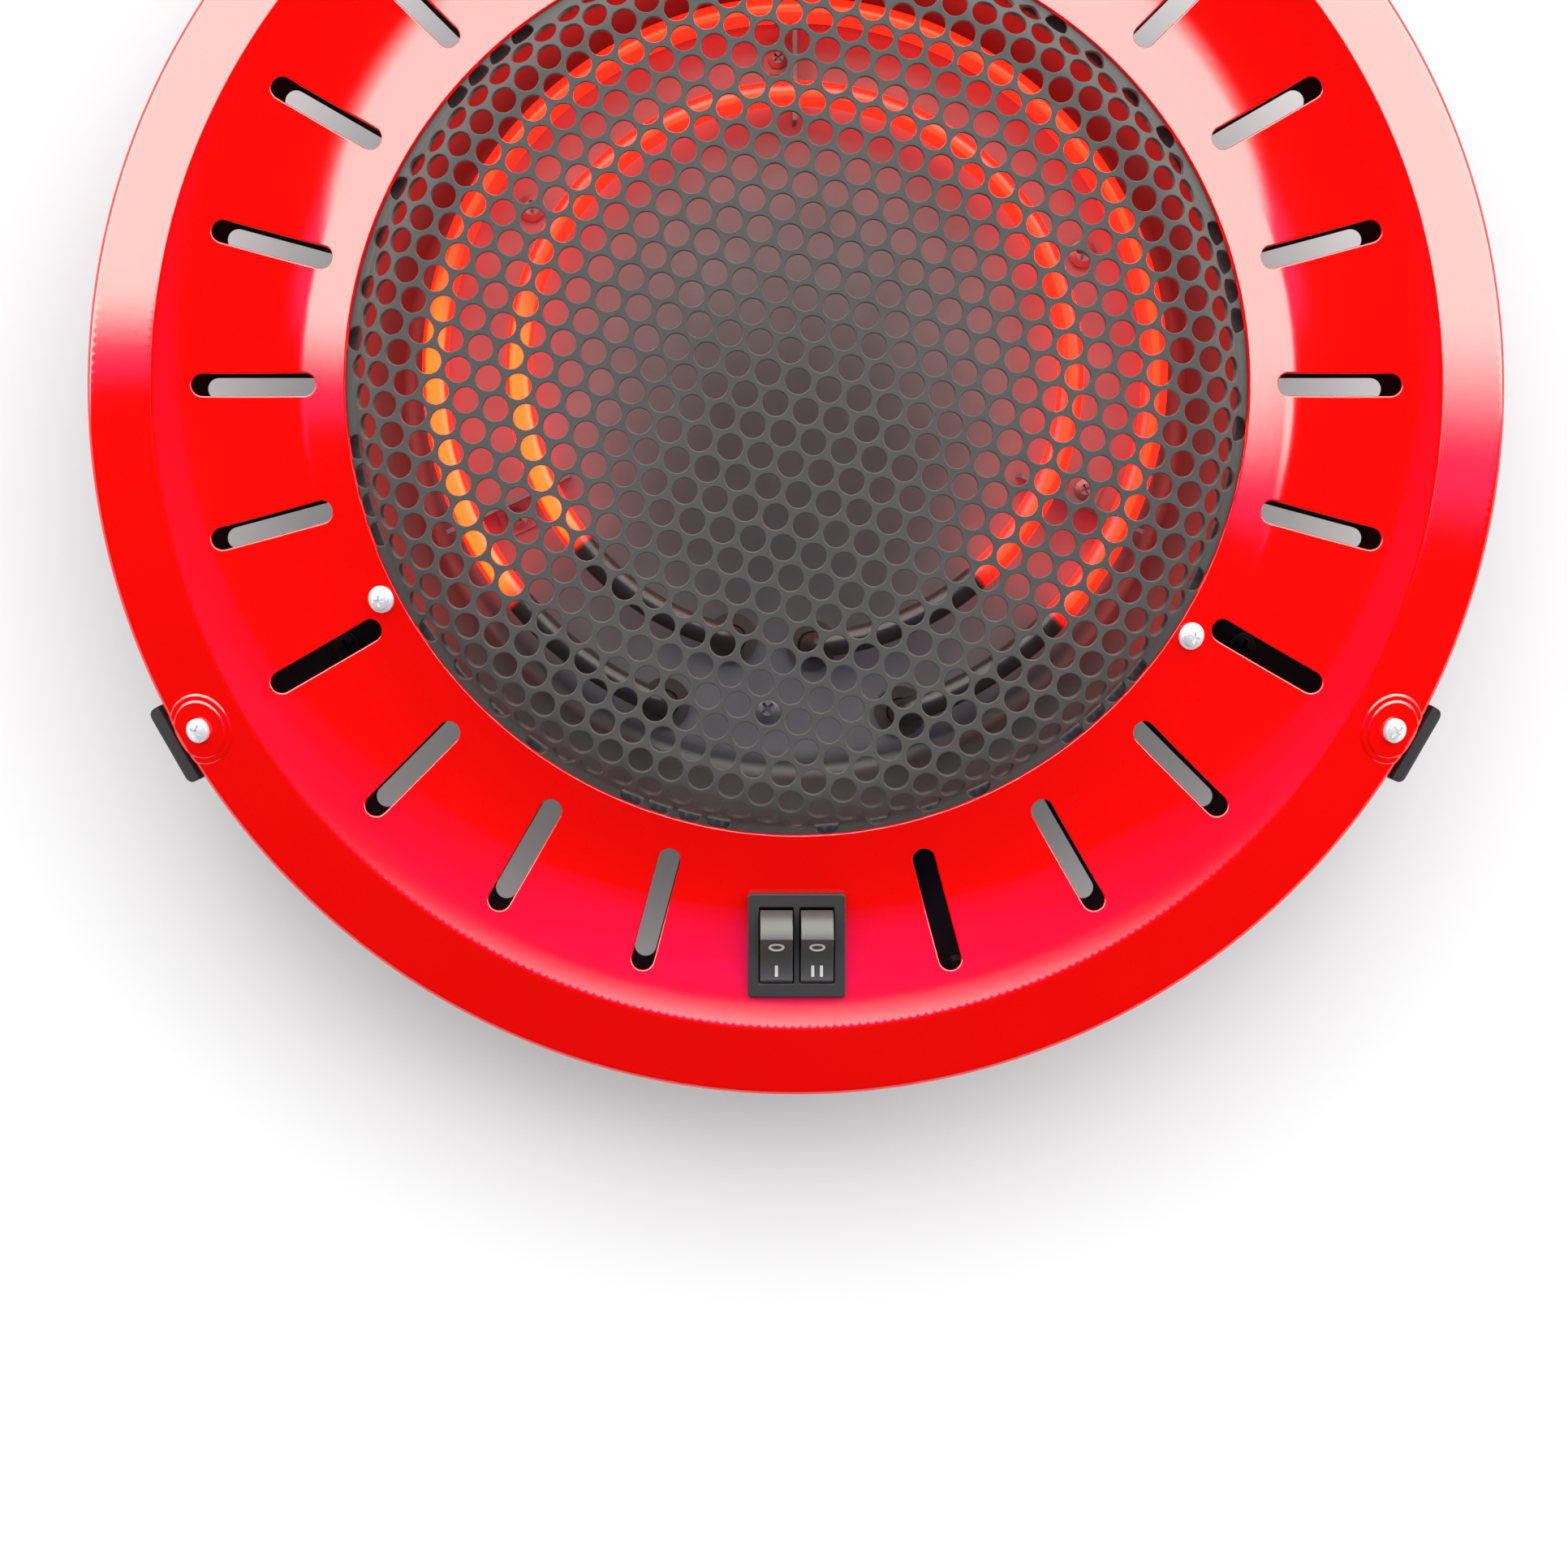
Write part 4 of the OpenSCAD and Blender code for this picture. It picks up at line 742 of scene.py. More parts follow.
def maths(tree, operation, *inputs):
    node = add_node(tree, "ShaderNodeMath", (-900, 0), operation=operation)
    for i, value in enumerate(inputs):
        feed(tree, value, node.inputs[i])
    return node.outputs[0]


def weighted(tree, *pairs):
    """Sum of the products of the pairs."""
    total = maths(tree, "MULTIPLY", *pairs[0])
    for pair in pairs[1:]:
        total = maths(tree, "ADD", total, maths(tree, "MULTIPLY", *pair))
    return total


def distance(tree, x, y):
    return maths(tree, "SQRT", weighted(tree, (x, x), (y, y)))


def ramp(tree, value, low, high):
    """Smooth step from 0 at the low value to 1 at the high one."""
    node = add_node(tree, "ShaderNodeMapRange", (-700, 0), interpolation_type="SMOOTHSTEP")
    for socket, given in (("From Min", low), ("From Max", high), ("Value", value)):
        feed(tree, given, node.inputs[socket])
    return node.outputs["Result"]


def mix(tree, place, factor, first, second):
    """Blend of two colours."""
    node = add_node(tree, "ShaderNodeMix", place, data_type="RGBA")
    for socket, given in (("Factor", factor), ("A", first), ("B", second)):
        feed(tree, given, node.inputs[socket])
    return node.outputs["Result"]


def coordinates(tree, output, place=(-1600, 0)):
    """X, Y and Z of an output of the texture coordinates."""
    source = add_node(tree, "ShaderNodeTexCoord", place)
    split = add_node(tree, "ShaderNodeSeparateXYZ", (place[0] + 200, place[1]))
    wire(tree, (source, output, split, "Vector"))
    return [split.outputs[axis] for axis in "XYZ"]


def group_tree(name, inputs, outputs):
    """An empty node group with named number sockets, its input node and its output node."""
    tree = bpy.data.node_groups.new(name, "ShaderNodeTree")
    for socket, default in inputs.items():
        made = tree.interface.new_socket(socket, in_out="INPUT", socket_type="NodeSocketFloat")
        made.default_value = default
    for socket in outputs:
        tree.interface.new_socket(socket, in_out="OUTPUT", socket_type="NodeSocketFloat")
    return (tree, add_node(tree, "NodeGroupInput", (-600, 0)),
            add_node(tree, "NodeGroupOutput", (600, 0)))


def grain_group():
    """Fine moulded or sprayed grain: a height, and a slow drift of tone."""
    if "Grain" in bpy.data.node_groups:
        return bpy.data.node_groups["Grain"]
    tree, source, result = group_tree("Grain", {"Scale": 900.0, "Drift": 30.0, "Roughness": 0.6},
                                      ["Height", "Tone"])
    place = add_node(tree, "ShaderNodeTexCoord", (-600, -200))
    fine = add_node(tree, "ShaderNodeTexNoise", (-300, 100), {"Detail": 4.0})
    slow = add_node(tree, "ShaderNodeTexNoise", (-300, -200), {"Detail": 3.0})
    wire(tree, (place, "Object", fine, "Vector"), (place, "Object", slow, "Vector"),
         (source, "Scale", fine, "Scale"), (source, "Roughness", fine, "Roughness"),
         (source, "Drift", slow, "Scale"), (fine, "Fac", result, "Height"),
         (slow, "Fac", result, "Tone"))
    return tree


def speck_group():
    """Small scattered specks, such as pits in enamel or settled dust."""
    if "Specks" in bpy.data.node_groups:
        return bpy.data.node_groups["Specks"]
    tree, source, result = group_tree("Specks", {"Scale": 300.0, "Size": 0.1}, ["Mask"])
    place = add_node(tree, "ShaderNodeTexCoord", (-600, -200))
    cells = add_node(tree, "ShaderNodeTexVoronoi", (-300, 0))
    split = add_node(tree, "ShaderNodeSeparateColor", (-150, -150))
    rare = add_node(tree, "ShaderNodeMath", (0, -150), {1: 0.82}, operation="GREATER_THAN")
    near = add_node(tree, "ShaderNodeMath", (0, 50), operation="LESS_THAN")
    both = add_node(tree, "ShaderNodeMath", (250, 0), operation="MULTIPLY")
    wire(tree, (place, "Object", cells, "Vector"), (source, "Scale", cells, "Scale"),
         (cells, "Distance", near, 0), (source, "Size", near, 1),
         (cells, "Color", split, "Color"), (split, "Red", rare, 0), (near, 0, both, 0),
         (rare, 0, both, 1), (both, 0, result, "Mask"))
    return tree


def place_group(tree, group, place, values):
    node = add_node(tree, "ShaderNodeGroup", place)
    node.node_tree = group
    for socket, value in values.items():
        node.inputs[socket].default_value = value
    return node


def tint(base, factor):
    return tuple(min(1.0, channel * factor) for channel in base) + (1.0,)


def finish(name, base, roughness, metallic=0.0, grain=900.0, depth=0.1, drift=30.0, spread=0.12,
           rough_spread=0.08, specks=None, specular=0.5):
    """A material whose tone, gloss and relief vary over the surface."""
    material = bpy.data.materials.new(name)
    material.use_nodes = True
    tree = material.node_tree
    shader = tree.nodes["Principled BSDF"]
    shader.inputs["Metallic"].default_value = metallic
    shader.inputs["Specular IOR Level"].default_value = specular
    relief = place_group(tree, grain_group(), (-900, 0), {"Scale": grain, "Drift": drift})
    tone = relief.outputs["Tone"]
    shade = mix(tree, (-500, 200), tone, tint(base, 1 - spread), tint(base, 1 + spread))
    if specks:
        mask = place_group(tree, speck_group(), (-900, 400),
                           {"Scale": specks["scale"], "Size": specks["size"]})
        shade = mix(tree, (-250, 300), mask.outputs["Mask"], shade, specks["colour"] + (1.0,))
    tree.links.new(shade, shader.inputs["Base Color"])
    gloss = add_node(tree, "ShaderNodeMapRange", (-500, -100),
                     {"To Min": max(0.02, roughness - rough_spread),
                      "To Max": min(1.0, roughness + rough_spread)})
    bump = add_node(tree, "ShaderNodeBump", (-250, -250), {"Strength": 1.0, "Distance": depth * MM})
    wire(tree, (relief, "Tone", gloss, "Value"), (gloss, "Result", shader, "Roughness"),
         (relief, "Height", bump, "Height"), (bump, "Normal", shader, "Normal"))
    return material


def enamel():
    """Glossy enamel with a slight orange peel."""
    f = settings().finishes
    return finish("red enamel", f.enamel, 0.09, grain=260.0, depth=0.012, drift=14.0, spread=0.02,
                  rough_spread=0.025, specks={"scale": 900.0, "size": 0.16,
                                              "colour": tuple(0.8 * c for c in f.enamel)})


def dulled_bowl():
    """Heat-dulled sheet with painted shade on its front middle, where the tubes' cold ends give no
    glow, and darker in a ring near its wall.
    """
    middle_shift = 28 * MM
    middle_start, middle_full, middle_shade = 66 * MM, 22 * MM, 0.75
    outer = settings().heater.outer_radius
    wall_start, wall_full, wall_darkening = outer + 1 * MM, outer + 6 * MM, 0.85
    base = settings().finishes.bowl
    made = finish("dulled steel", base, 0.45, metallic=0.15, grain=600.0, depth=0.03, drift=60.0,
                  spread=0.2, specular=0.2)
    tree = made.node_tree
    x, y, _ = coordinates(tree, "Object", (-1600, 600))
    # Painted shade on the front middle, towards the tubes' cold ends, and a darker ring just
    # outside the outer tube.
    away = distance(tree, x, maths(tree, "ADD", y, middle_shift))
    middle = maths(tree, "MULTIPLY", ramp(tree, away, middle_start, middle_full), middle_shade)
    wall = maths(tree, "MULTIPLY", ramp(tree, distance(tree, x, y), wall_start, wall_full),
                 wall_darkening)
    colour = tree.nodes["Principled BSDF"].inputs["Base Color"]
    shade_and_darkening = mix(tree, (-200, 300), maths(tree, "MAXIMUM", wall, middle),
               colour.links[0].from_socket, tint(base, 0.22))
    tree.links.new(shade_and_darkening, colour)
    return made


def ring_heat_group():
    """How hot an open ring is, and which part of it lies on its hottest side."""
    if "Ring heat" in bpy.data.node_groups:
        return bpy.data.node_groups["Ring heat"]
    front_start, front_full = 1.35, 0.95
    tree, source, result = group_tree(
        "Ring heat", {"Shift": 0.0, "Gap direction": 0.0, "Cold angle": 0.8, "Warming": 0.1,
                      "Hot direction": -2.0}, ["Heat", "Front"])
    x, y, _ = coordinates(tree, "Object")
    y = maths(tree, "SUBTRACT", y, source.outputs["Shift"])
    radius = distance(tree, x, y)

    def turn_from(direction):
        along = weighted(tree, (x, maths(tree, "COSINE", direction)),
                         (y, maths(tree, "SINE", direction)))
        return maths(tree, "ARCCOSINE", maths(tree, "DIVIDE", along, radius))

    cold = source.outputs["Cold angle"]
    heat = ramp(tree, turn_from(source.outputs["Gap direction"]), cold,
                maths(tree, "ADD", cold, source.outputs["Warming"]))
    tree.links.new(heat, result.inputs["Heat"])
    front = ramp(tree, turn_from(source.outputs["Hot direction"]), front_start, front_full)
    tree.links.new(front, result.inputs["Front"])
    return tree


def heated_tube(name, gap, radius, gap_half):
    """Oxidised sheath that glows red along the ring. Near the gap, on the ring's hotter side, its
    upper faces glow orange, partly the hotter glow and partly a painted highlight, and a painted
    orange highlight line runs along its top.
    """
    band_start, band_full = 0.6, 0.85
    highlight_start, highlight_full, highlight_share = 0.93, 0.98, 0.22
    f = settings().finishes
    h = settings().heater
    made = finish(name, f.sheath, 0.3, grain=700.0, depth=0.02, spread=0.3, specular=0.3)
    tree = made.node_tree
    shader = tree.nodes["Principled BSDF"]
    ring = place_group(tree, ring_heat_group(), (-900, -500),
                       {"Shift": h.shift, "Gap direction": gap,
                        "Cold angle": gap_half + h.cold / radius, "Warming": h.warming / radius,
                        "Hot direction": h.hot_direction})
    geometry = add_node(tree, "ShaderNodeNewGeometry", (-1300, -700))
    split = add_node(tree, "ShaderNodeSeparateXYZ", (-1100, -700))
    wire(tree, (geometry, "Normal", split, "Vector"))
    up = split.outputs["Z"]
    # Painted highlight: the hotter side's orange shows only on the tube's upper faces, and a thin
    # painted highlight line runs along its very top.
    orange = weighted(tree, (ramp(tree, up, band_start, band_full), ring.outputs["Front"]),
                      (ramp(tree, up, highlight_start, highlight_full), highlight_share))
    hue = mix(tree, (-450, -700), orange, tint(f.glow, 1.0), tint(f.hot_and_highlight_orange, 1.0))
    lit = mix(tree, (-200, -700), ring.outputs["Heat"], (0.0, 0.0, 0.0, 1.0), hue)
    tree.links.new(lit, shader.inputs["Emission Color"])
    shader.inputs["Emission Strength"].default_value = f.glow_strength
    return made


def inner_tube():
    h = settings().heater
    return heated_tube("inner heating tube", h.inner_gap, h.inner_radius, h.inner_half)


def outer_tube():
    h = settings().heater
    return heated_tube("outer heating tube", h.outer_gap, h.outer_radius, h.outer_half)


def plain_finishes():
    """Label, colour, roughness and other values of the finishes without nodes of their own."""
    f = settings().finishes
    lead = dict(grain=900.0)
    return {
        "grille": ("grille paint", f.grille, 0.55,
                   dict(grain=1500.0, depth=0.02, spread=0.15, specular=0.12,
                        specks={"scale": 1500.0, "size": 0.2, "colour": (0.09, 0.09, 0.09)})),
        "pan": ("pan paint", f.pan, 0.45, dict(grain=1200.0, depth=0.03, spread=0.2,
                                               specular=0.15)),
        "plastic": ("black plastic", f.plastic, 0.48, dict(grain=2200.0, depth=0.05, spread=0.15,
                                                           specular=0.35)),
        "box_plastic": ("box moulding", f.plastic, 0.6, dict(grain=2200.0, depth=0.05,
                                                             specular=0.05)),
        "bezel": ("bezel plastic", f.bezel, 0.42, dict(grain=3000.0, depth=0.03, specular=0.12)),
        "rocker": ("rocker plastic", f.rocker, 0.38, dict(grain=3000.0, depth=0.015,
                                                          specular=0.3)),
        "marks": ("pale ink", f.marks, 0.5, dict(grain=4000.0, depth=0.01, spread=0.05)),
        "zinc": ("bright zinc", f.zinc, 0.3, dict(metallic=0.35, grain=1800.0, depth=0.01,
                                                  drift=400.0, spread=0.08)),
        "steel": ("bright steel", f.steel, 0.3, dict(metallic=1.0, grain=600.0, depth=0.02,
                                                     drift=60.0, spread=0.1)),
        "dull_steel": ("dull bracket", f.bowl, 0.45, dict(metallic=0.15, grain=600.0, depth=0.03,
                                                          spread=0.2, specular=0.2)),
        "dull_zinc": ("dull zinc", f.bowl, 0.5, dict(metallic=0.4, grain=900.0, depth=0.02,
                                                     spread=0.1, specular=0.3)),
        "ceramic": ("ceramic", f.ceramic, 0.6,
                    dict(grain=1500.0, depth=0.04,
                         specks={"scale": 1400.0, "size": 0.2, "colour": (0.5, 0.47, 0.42)})),
        "dark_ceramic": ("dark ceramic", (0.045, 0.038, 0.034), 0.6,
                         dict(grain=1500.0, depth=0.04, specular=0.2)),
        "brass": ("brass", f.brass, 0.28, dict(metallic=1.0, grain=1200.0, depth=0.01)),
        "rubber": ("rubber", f.plastic, 0.7, dict(grain=1800.0, depth=0.06)),
        "pale_plastic": ("pale plastic", (0.72, 0.70, 0.62), 0.45, dict(grain=2000.0, depth=0.02)),
        "phenolic": ("dark moulding", (0.035, 0.022, 0.016), 0.35,
                     dict(grain=1500.0, depth=0.02, spread=0.3)),
        "lead_brown": ("brown lead", (0.16, 0.055, 0.02), 0.5, lead),
        "lead_white": ("white lead", (0.75, 0.74, 0.70), 0.5, lead),
        "lead_blue": ("blue lead", (0.03, 0.10, 0.42), 0.5, lead),
        "lead_green": ("green lead", (0.15, 0.36, 0.03), 0.5, dict(grain=900.0, drift=160.0,
                                                                   spread=0.5)),
    }


OWN_FINISHES = {"enamel": enamel, "bowl": dulled_bowl, "inner_tube": inner_tube,
                "outer_tube": outer_tube}
MATERIALS = {}


def material(name):
    """The named finish, made when it is first asked for."""
    if name not in MATERIALS:
        if name in OWN_FINISHES:
            MATERIALS[name] = OWN_FINISHES[name]()
        else:
            label, base, roughness, values = plain_finishes()[name]
            MATERIALS[name] = finish(label, base, roughness, **values)
    return MATERIALS[name]


def dress(obj, finish_name, body="brazier", nodes=()):
    """Gives a piece its finish, hangs it on the body it rides on, and hides the solids it stands
    for.
    """
    obj.data.materials.clear()
    obj.data.materials.append(material(finish_name))
    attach(obj, body)
    if nodes:
        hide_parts(*nodes)
    return obj


def dress_node(node, finish_name):
    """A better finish for a solid whose shape is right as it is."""
    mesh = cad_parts[node].data
    mesh.materials.clear()
    mesh.materials.append(material(finish_name))


# Fasteners

def screw_head(name, place, radius, height, dome, washer=0.0):
    """Domed head with a cross recess, on a washer where it has one."""
    sides = 40
    arm = radius * 0.62
    half = radius * 0.14
    depth = height * 0.6
    washer_rise = 0.9 * MM
    dome_share = 0.8

    def domed(share):
        return dome * (1 - (share / dome_share) ** 2)

    def cross(reach, side):
        points = []
        for k in range(4):
            a = k * pi / 2
            for x, y in ((reach, -side), (reach, side), (side, side)):
                points.append((x * cos(a) - y * sin(a), x * sin(a) + y * cos(a)))
        return points

    rings = [(radius * share, domed(share)) for share in (0.5, 0.7)]
    rings += [(radius * share, -drop * (height - dome))
              for share, drop in ((dome_share, 0.0), (0.93, 0.05), (0.985, 0.18), (1.0, 0.42))]
    points = [(0.0, 0.0, -depth)]
    edges = []
    for outline, sunk in ((cross(arm * 0.72, half * 0.75), True), (cross(arm, half), False)):
        first = len(points)
        for x, y in outline:
            points.append((x, y, -depth if sunk else domed(hypot(x, y) / radius)))
        edges += [(first + i, first + (i + 1) % 12) for i in range(12)]
    for r, z in rings:
        for i in range(sides):
            x, y = around(r, 2 * pi * i / sides)
            grooved = r < arm * 1.05 and min(abs(x), abs(y)) < half * 1.6
            if not grooved:
                points.append((x, y, z))
    faces, origins = triangulated(points, edges)
    base = washer_rise if washer else 0.0
    top = base + height - dome
    mesh = bmesh.new()
    verts = []
    for origin in origins:
        x, y, z = points[origin[0]]
        verts.append(mesh.verts.new((x, y, top + z)))
    for face in faces:
        mesh.faces.new([verts[i] for i in face])
    rim = [edge for edge in mesh.edges if edge.is_boundary]
    made = bmesh.ops.extrude_edge_only(mesh, edges=rim)["geom"]
    for vert in made:
        if isinstance(vert, bmesh.types.BMVert):
            vert.co.z = base
    lower = [edge for edge in made if isinstance(edge, bmesh.types.BMEdge) and edge.is_boundary]
    bmesh.ops.contextual_create(mesh, geom=lower)
    parts = [smooth(finished(name, mesh, place), 30)]
    if washer:
        bevel = 0.25 * MM
        section = [(0.0, 0.0), (washer - bevel, 0.0), (washer, bevel),
                   (washer, washer_rise - bevel), (washer - bevel, washer_rise),
                   (0.0, washer_rise)]
        parts.append(turned(name, section, place))
    return parts


def shank(name, place, radius, depth):
    section = [(0.0, -depth), (radius * 0.8, -depth), (radius, -depth + 0.4 * MM), (radius, 0.0),
               (0.0, 0.0)]
    return turned(name, section, place, 24)


# Pieces

class PieceOperator:
    """What every piece's operator shares."""
    bl_options = {"REGISTER", "UNDO"}


class BRAZIER_OT_plate(PieceOperator, bpy.types.Operator):
    """Builds the dished red ring plate with its slots and screw pads"""
    bl_idname = "brazier.plate"
    bl_label = "Ring plate"

    def execute(self, context):
        p = settings().plate
        g = settings().grille
        w = settings().switch
        path = plate_path()
        pads = [around(p.screw_radius, turn) for turn in FOOT_TURNS]
        holes = slot_outlines() + screw_holes(p.screw_radius, FOOT_TURNS, 2.05 * MM, 20)
        holes += screw_holes(g.screw_radius, grille_screw_turns(), 1.8 * MM, 20)
        holes.append(box_outline(0.0, -w.centre, w.width - 1.2 * MM, w.length - 2.2 * MM,
                                 0.5 * MM))
        holes = [hole.moved(path) for hole in holes]
        segments = 480
        inner = ring_points(path, holes, segments, 0.9 * MM)
        for pad in pads:
            centre = path.to_sheet(np.array([pad]))[0]
            beyond = np.linalg.norm(inner, axis=1) > path.length_at(p.rim_radius - 1 * MM)
            inner = inner[(np.linalg.norm(inner - centre, axis=1) > 11.0 * MM) | beyond]
        inner = np.concatenate([inner] + [path.to_sheet(ring) for ring in self.pad_rings(pads)])
        lengths = path.columns()[0]
        holes.append(round_outline(0.0, 0.0, lengths[0], segments))

        def raised(x, y):
            """Two steps of each pad, with their slopes."""
            wall = 0.7 * MM
            lean = cos(p.flange_slope)
            height, slope_x, slope_y = np.zeros((3, len(x)))
            for pad_x, pad_y in pads:
                out_x, out_y = pad_x / p.screw_radius, pad_y / p.screw_radius
                along = ((x - pad_x) * out_x + (y - pad_y) * out_y) / lean
                across = -(x - pad_x) * out_y + (y - pad_y) * out_x
                away = np.hypot(along, across)
                size = np.where(away > 1e-6, away, 1.0)
                for radius in (p.pad_radius, p.pad_radius + p.pad_step):
                    t = np.clip((radius + wall / 2 - away) / wall, 0, 1)
                    step = t * t * (3 - 2 * t)
                    steep = -6 * t * (1 - t) / wall
                    near = np.where(away < 12 * MM, p.pad_rise, 0.0)
                    height += near * step
                    slope_x += near * steep * (along * out_x - across * out_y) / size
                    slope_y += near * steep * (along * out_y + across * out_x) / size
            return height, slope_x, slope_y

        outer = round_outline(0.0, 0.0, lengths[-1], segments)
        plate = cut_sheet("enamelled_plate", path, p.thickness, outer, holes, inner, p.lip, raised)
        dress(plate, "enamel", nodes=["top_plate"])
        return {"FINISHED"}

    def pad_rings(self, pads):
        """Rings of points round the screw pads, closest together at their steps."""
        p = settings().plate
        lean = cos(p.flange_slope)
        rings = []
        for pad in np.array(pads):
            out = pad / p.screw_radius
            side = np.array([-out[1], out[0]])
            for r in (3.0, 4.6, 6.2, 7.0, 7.35, 7.6, 7.85, 8.2, 8.8, 9.1, 9.35, 9.6, 9.9, 10.4):
                ring = round_outline(0.0, 0.0, r * MM, 64).points
                plan = pad + ring[:, :1] * lean * out + ring[:, 1:] * side
                rings.append(plan[np.hypot(*plan.T) < p.rim_radius - 0.6 * MM])
        return rings


class BRAZIER_OT_grille(PieceOperator, bpy.types.Operator):
    """Builds the perforated crown and its clamped flange"""
    bl_idname = "brazier.grille"
    bl_label = "Grille"

    def execute(self, context):
        g = settings().grille
        path = grille_path()
        lengths, _, _, slopes = path.columns()
        wall_end = lengths[np.flatnonzero(slopes >= g.wall_slope - 1e-6)[-1]]
        limit = wall_end + g.hole * 0.2
        rows = ceil(limit / g.pitch * 1.3)
        sides = 26
        segments = 300
        holes = []
        for i in range(-rows, rows + 1):
            for j in range(-rows, rows + 1):
                u = g.pitch * (i + j / 2)
                v = g.pitch * j * sqrt(3) / 2
                if hypot(u, v) < limit:
                    x = u * cos(g.turn) - v * sin(g.turn)
                    y = u * sin(g.turn) + v * cos(g.turn)
                    holes.append(round_outline(x, y, g.hole / 2, sides))
        screws = [hole.moved(path) for hole
                  in screw_holes(g.screw_radius, grille_screw_turns(), 1.8 * MM, 16)]
        rings = ring_points(path, screws, segments, 0.6 * MM, limit - 8 * MM)
        keep = np.ones(len(rings), bool)
        for hole in holes:
            if np.hypot(*hole.points.mean(0)) > limit - 14 * MM:
                keep &= hole.clear_of(rings, 0.45 * MM)
        outer = round_outline(0.0, 0.0, lengths[-1], segments)
        grille = cut_sheet("perforated_grille", path, g.thickness, outer, holes + screws,
                           rings[keep], 0.3 * MM)
        dress(grille, "grille", nodes=["grille"])
        return {"FINISHED"}


class BRAZIER_OT_screws(PieceOperator, bpy.types.Operator):
    """Builds the screws of the grille, of the rim and of the pan"""
    bl_idname = "brazier.screws"
    bl_label = "Screws"

    def execute(self, context):
        p = settings().plate
        g = settings().grille
        f = settings().foot
        path = plate_path()
        height = path.height_at(g.screw_radius)
        places = [place_at(turn, g.screw_radius, height, p.band_slope)
                  @ Matrix.Rotation(0.35 + 0.8 * i, 4, "Z")
                  for i, turn in enumerate(grille_screw_turns())]
        screws = self.screw_set("grille_screw", places, (2.5, 1.7, 0.5, 3.6), (1.5, 7.0))
        dress(screws, "zinc", nodes=["grille_screws"])
        height = path.height_at(p.screw_radius)
        places = [place_at(turn, p.screw_radius, height, p.flange_slope)
                  @ Matrix.Translation((0.0, 0.0, 2 * p.pad_rise))
                  @ Matrix.Rotation(0.2 + 0.5 * i, 4, "Z")
                  for i, turn in enumerate(FOOT_TURNS)]
        screws = self.screw_set("rim_screw", places, (3.25, 2.3, 0.8), (1.75, 15.0))
        dress(screws, "zinc", nodes=["foot_screws"])
        height = settings().bowl.shelf_height
        places = [place_at(turn, f.arm_screw, height) for turn in FOOT_TURNS]
        screws = self.screw_set("pan_screw", places, (3.8, 2.6, 0.7), (2.0, 8.0))
        dress(screws, "pan", nodes=["pan_screws"])
        return {"FINISHED"}

    def screw_set(self, name, places, head, stem):
        """Equal screws at the places, with the sizes of their heads and shanks in millimetres."""
        parts = []
        for place in places:
            parts += screw_head(name, place, *(size * MM for size in head))
            parts.append(shank(name, place, *(size * MM for size in stem)))
        return join(name + "_set", parts)


def tube_tails(node):
    """Plan places of a tube's two tails, read from the solid's lowest points."""
    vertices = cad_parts[node].data.vertices
    points = np.empty(len(vertices) * 3)
    vertices.foreach_get("co", points)
    points = points.reshape(-1, 3)
    low = points[points[:, 2] < points[:, 2].min() + 0.5 * MM]
    middle = (low[:, 0].min() + low[:, 0].max()) / 2
    left = low[low[:, 0] < middle]
    right = low[low[:, 0] >= middle]
    return [(side.max(0) + side.min(0))[:2] / 2 for side in (left, right)]


class BRAZIER_OT_heaters(PieceOperator, bpy.types.Operator):
    """Builds the two ring heaters with their glow"""
    bl_idname = "brazier.heaters"
    bl_label = "Heating tubes"

    def execute(self, context):
        h = settings().heater
        for node, radius, finish_name in (("heater_inner", h.inner_radius, "inner_tube"),
                                          ("heater_outer", h.outer_radius, "outer_tube")):
            tube = self.tube(node + "_tube", radius, tube_tails(node))
            dress(tube, finish_name, nodes=[node])
        return {"FINISHED"}

    def tube(self, name, radius, ends):
        """An open ring whose two ends turn down at an elbow to their tails."""
        h = settings().heater
        elbow_steps = 8
        ring_steps = 259
        turns = []
        for (x, y), side in zip(ends, (-1, 1)):
            direction = atan2(y - h.shift, x)
            turns.append(direction + side * asin(h.elbow / hypot(x, y - h.shift)))
        start, stop = turns[1], turns[0] + 2 * pi

        def on_ring(turn, height):
            x, y = around(radius, turn)
            return Vector((x, y + h.shift, height))

        tails = []
        for (x, y), turn, side in ((ends[1], start, 1), (ends[0], stop, -1)):
            tail = [Vector((x, y, h.tail_height))]
            centre = on_ring(turn, h.height - h.elbow)
            way = Vector((sin(turn), -cos(turn), 0.0)) * side
            for i in range(elbow_steps + 1):
                a = pi / 2 * i / elbow_steps
                tail.append(centre + way * h.elbow * cos(a) + Vector((0, 0, h.elbow * sin(a))))
            tails.append(tail)
        ring = [on_ring(turn, h.height) for turn in np.linspace(start, stop, ring_steps + 1)[1:-1]]
        return self.sweep(name, tails[0] + ring + tails[1][::-1])

    def sweep(self, name, points):
        """Round tube along the points."""
        h = settings().heater
        sides = 20
        axis = Vector((0.0, h.shift, h.height))
        mesh = bmesh.new()
        rings = []
        for i, point in enumerate(points):
            way = (points[min(i + 1, len(points) - 1)] - points[max(i - 1, 0)]).normalized()
            out = Vector((*(point - axis).xy, 0.0))
            side = (out - way * out.dot(way)).normalized()
            up = way.cross(side)
            ring = []
            for k in range(sides):
                a = 2 * pi * k / sides
                ring.append(mesh.verts.new(point + (side * cos(a) + up * sin(a)) * h.tube / 2))
            rings.append(ring)
        for low, high in zip(rings, rings[1:]):
            for k in range(sides):
                after = (k + 1) % sides
                mesh.faces.new((low[k], low[after], high[after], high[k]))
        mesh.faces.new(rings[0][::-1])
        mesh.faces.new(rings[-1])
        return smooth(finished(name, mesh), 50)


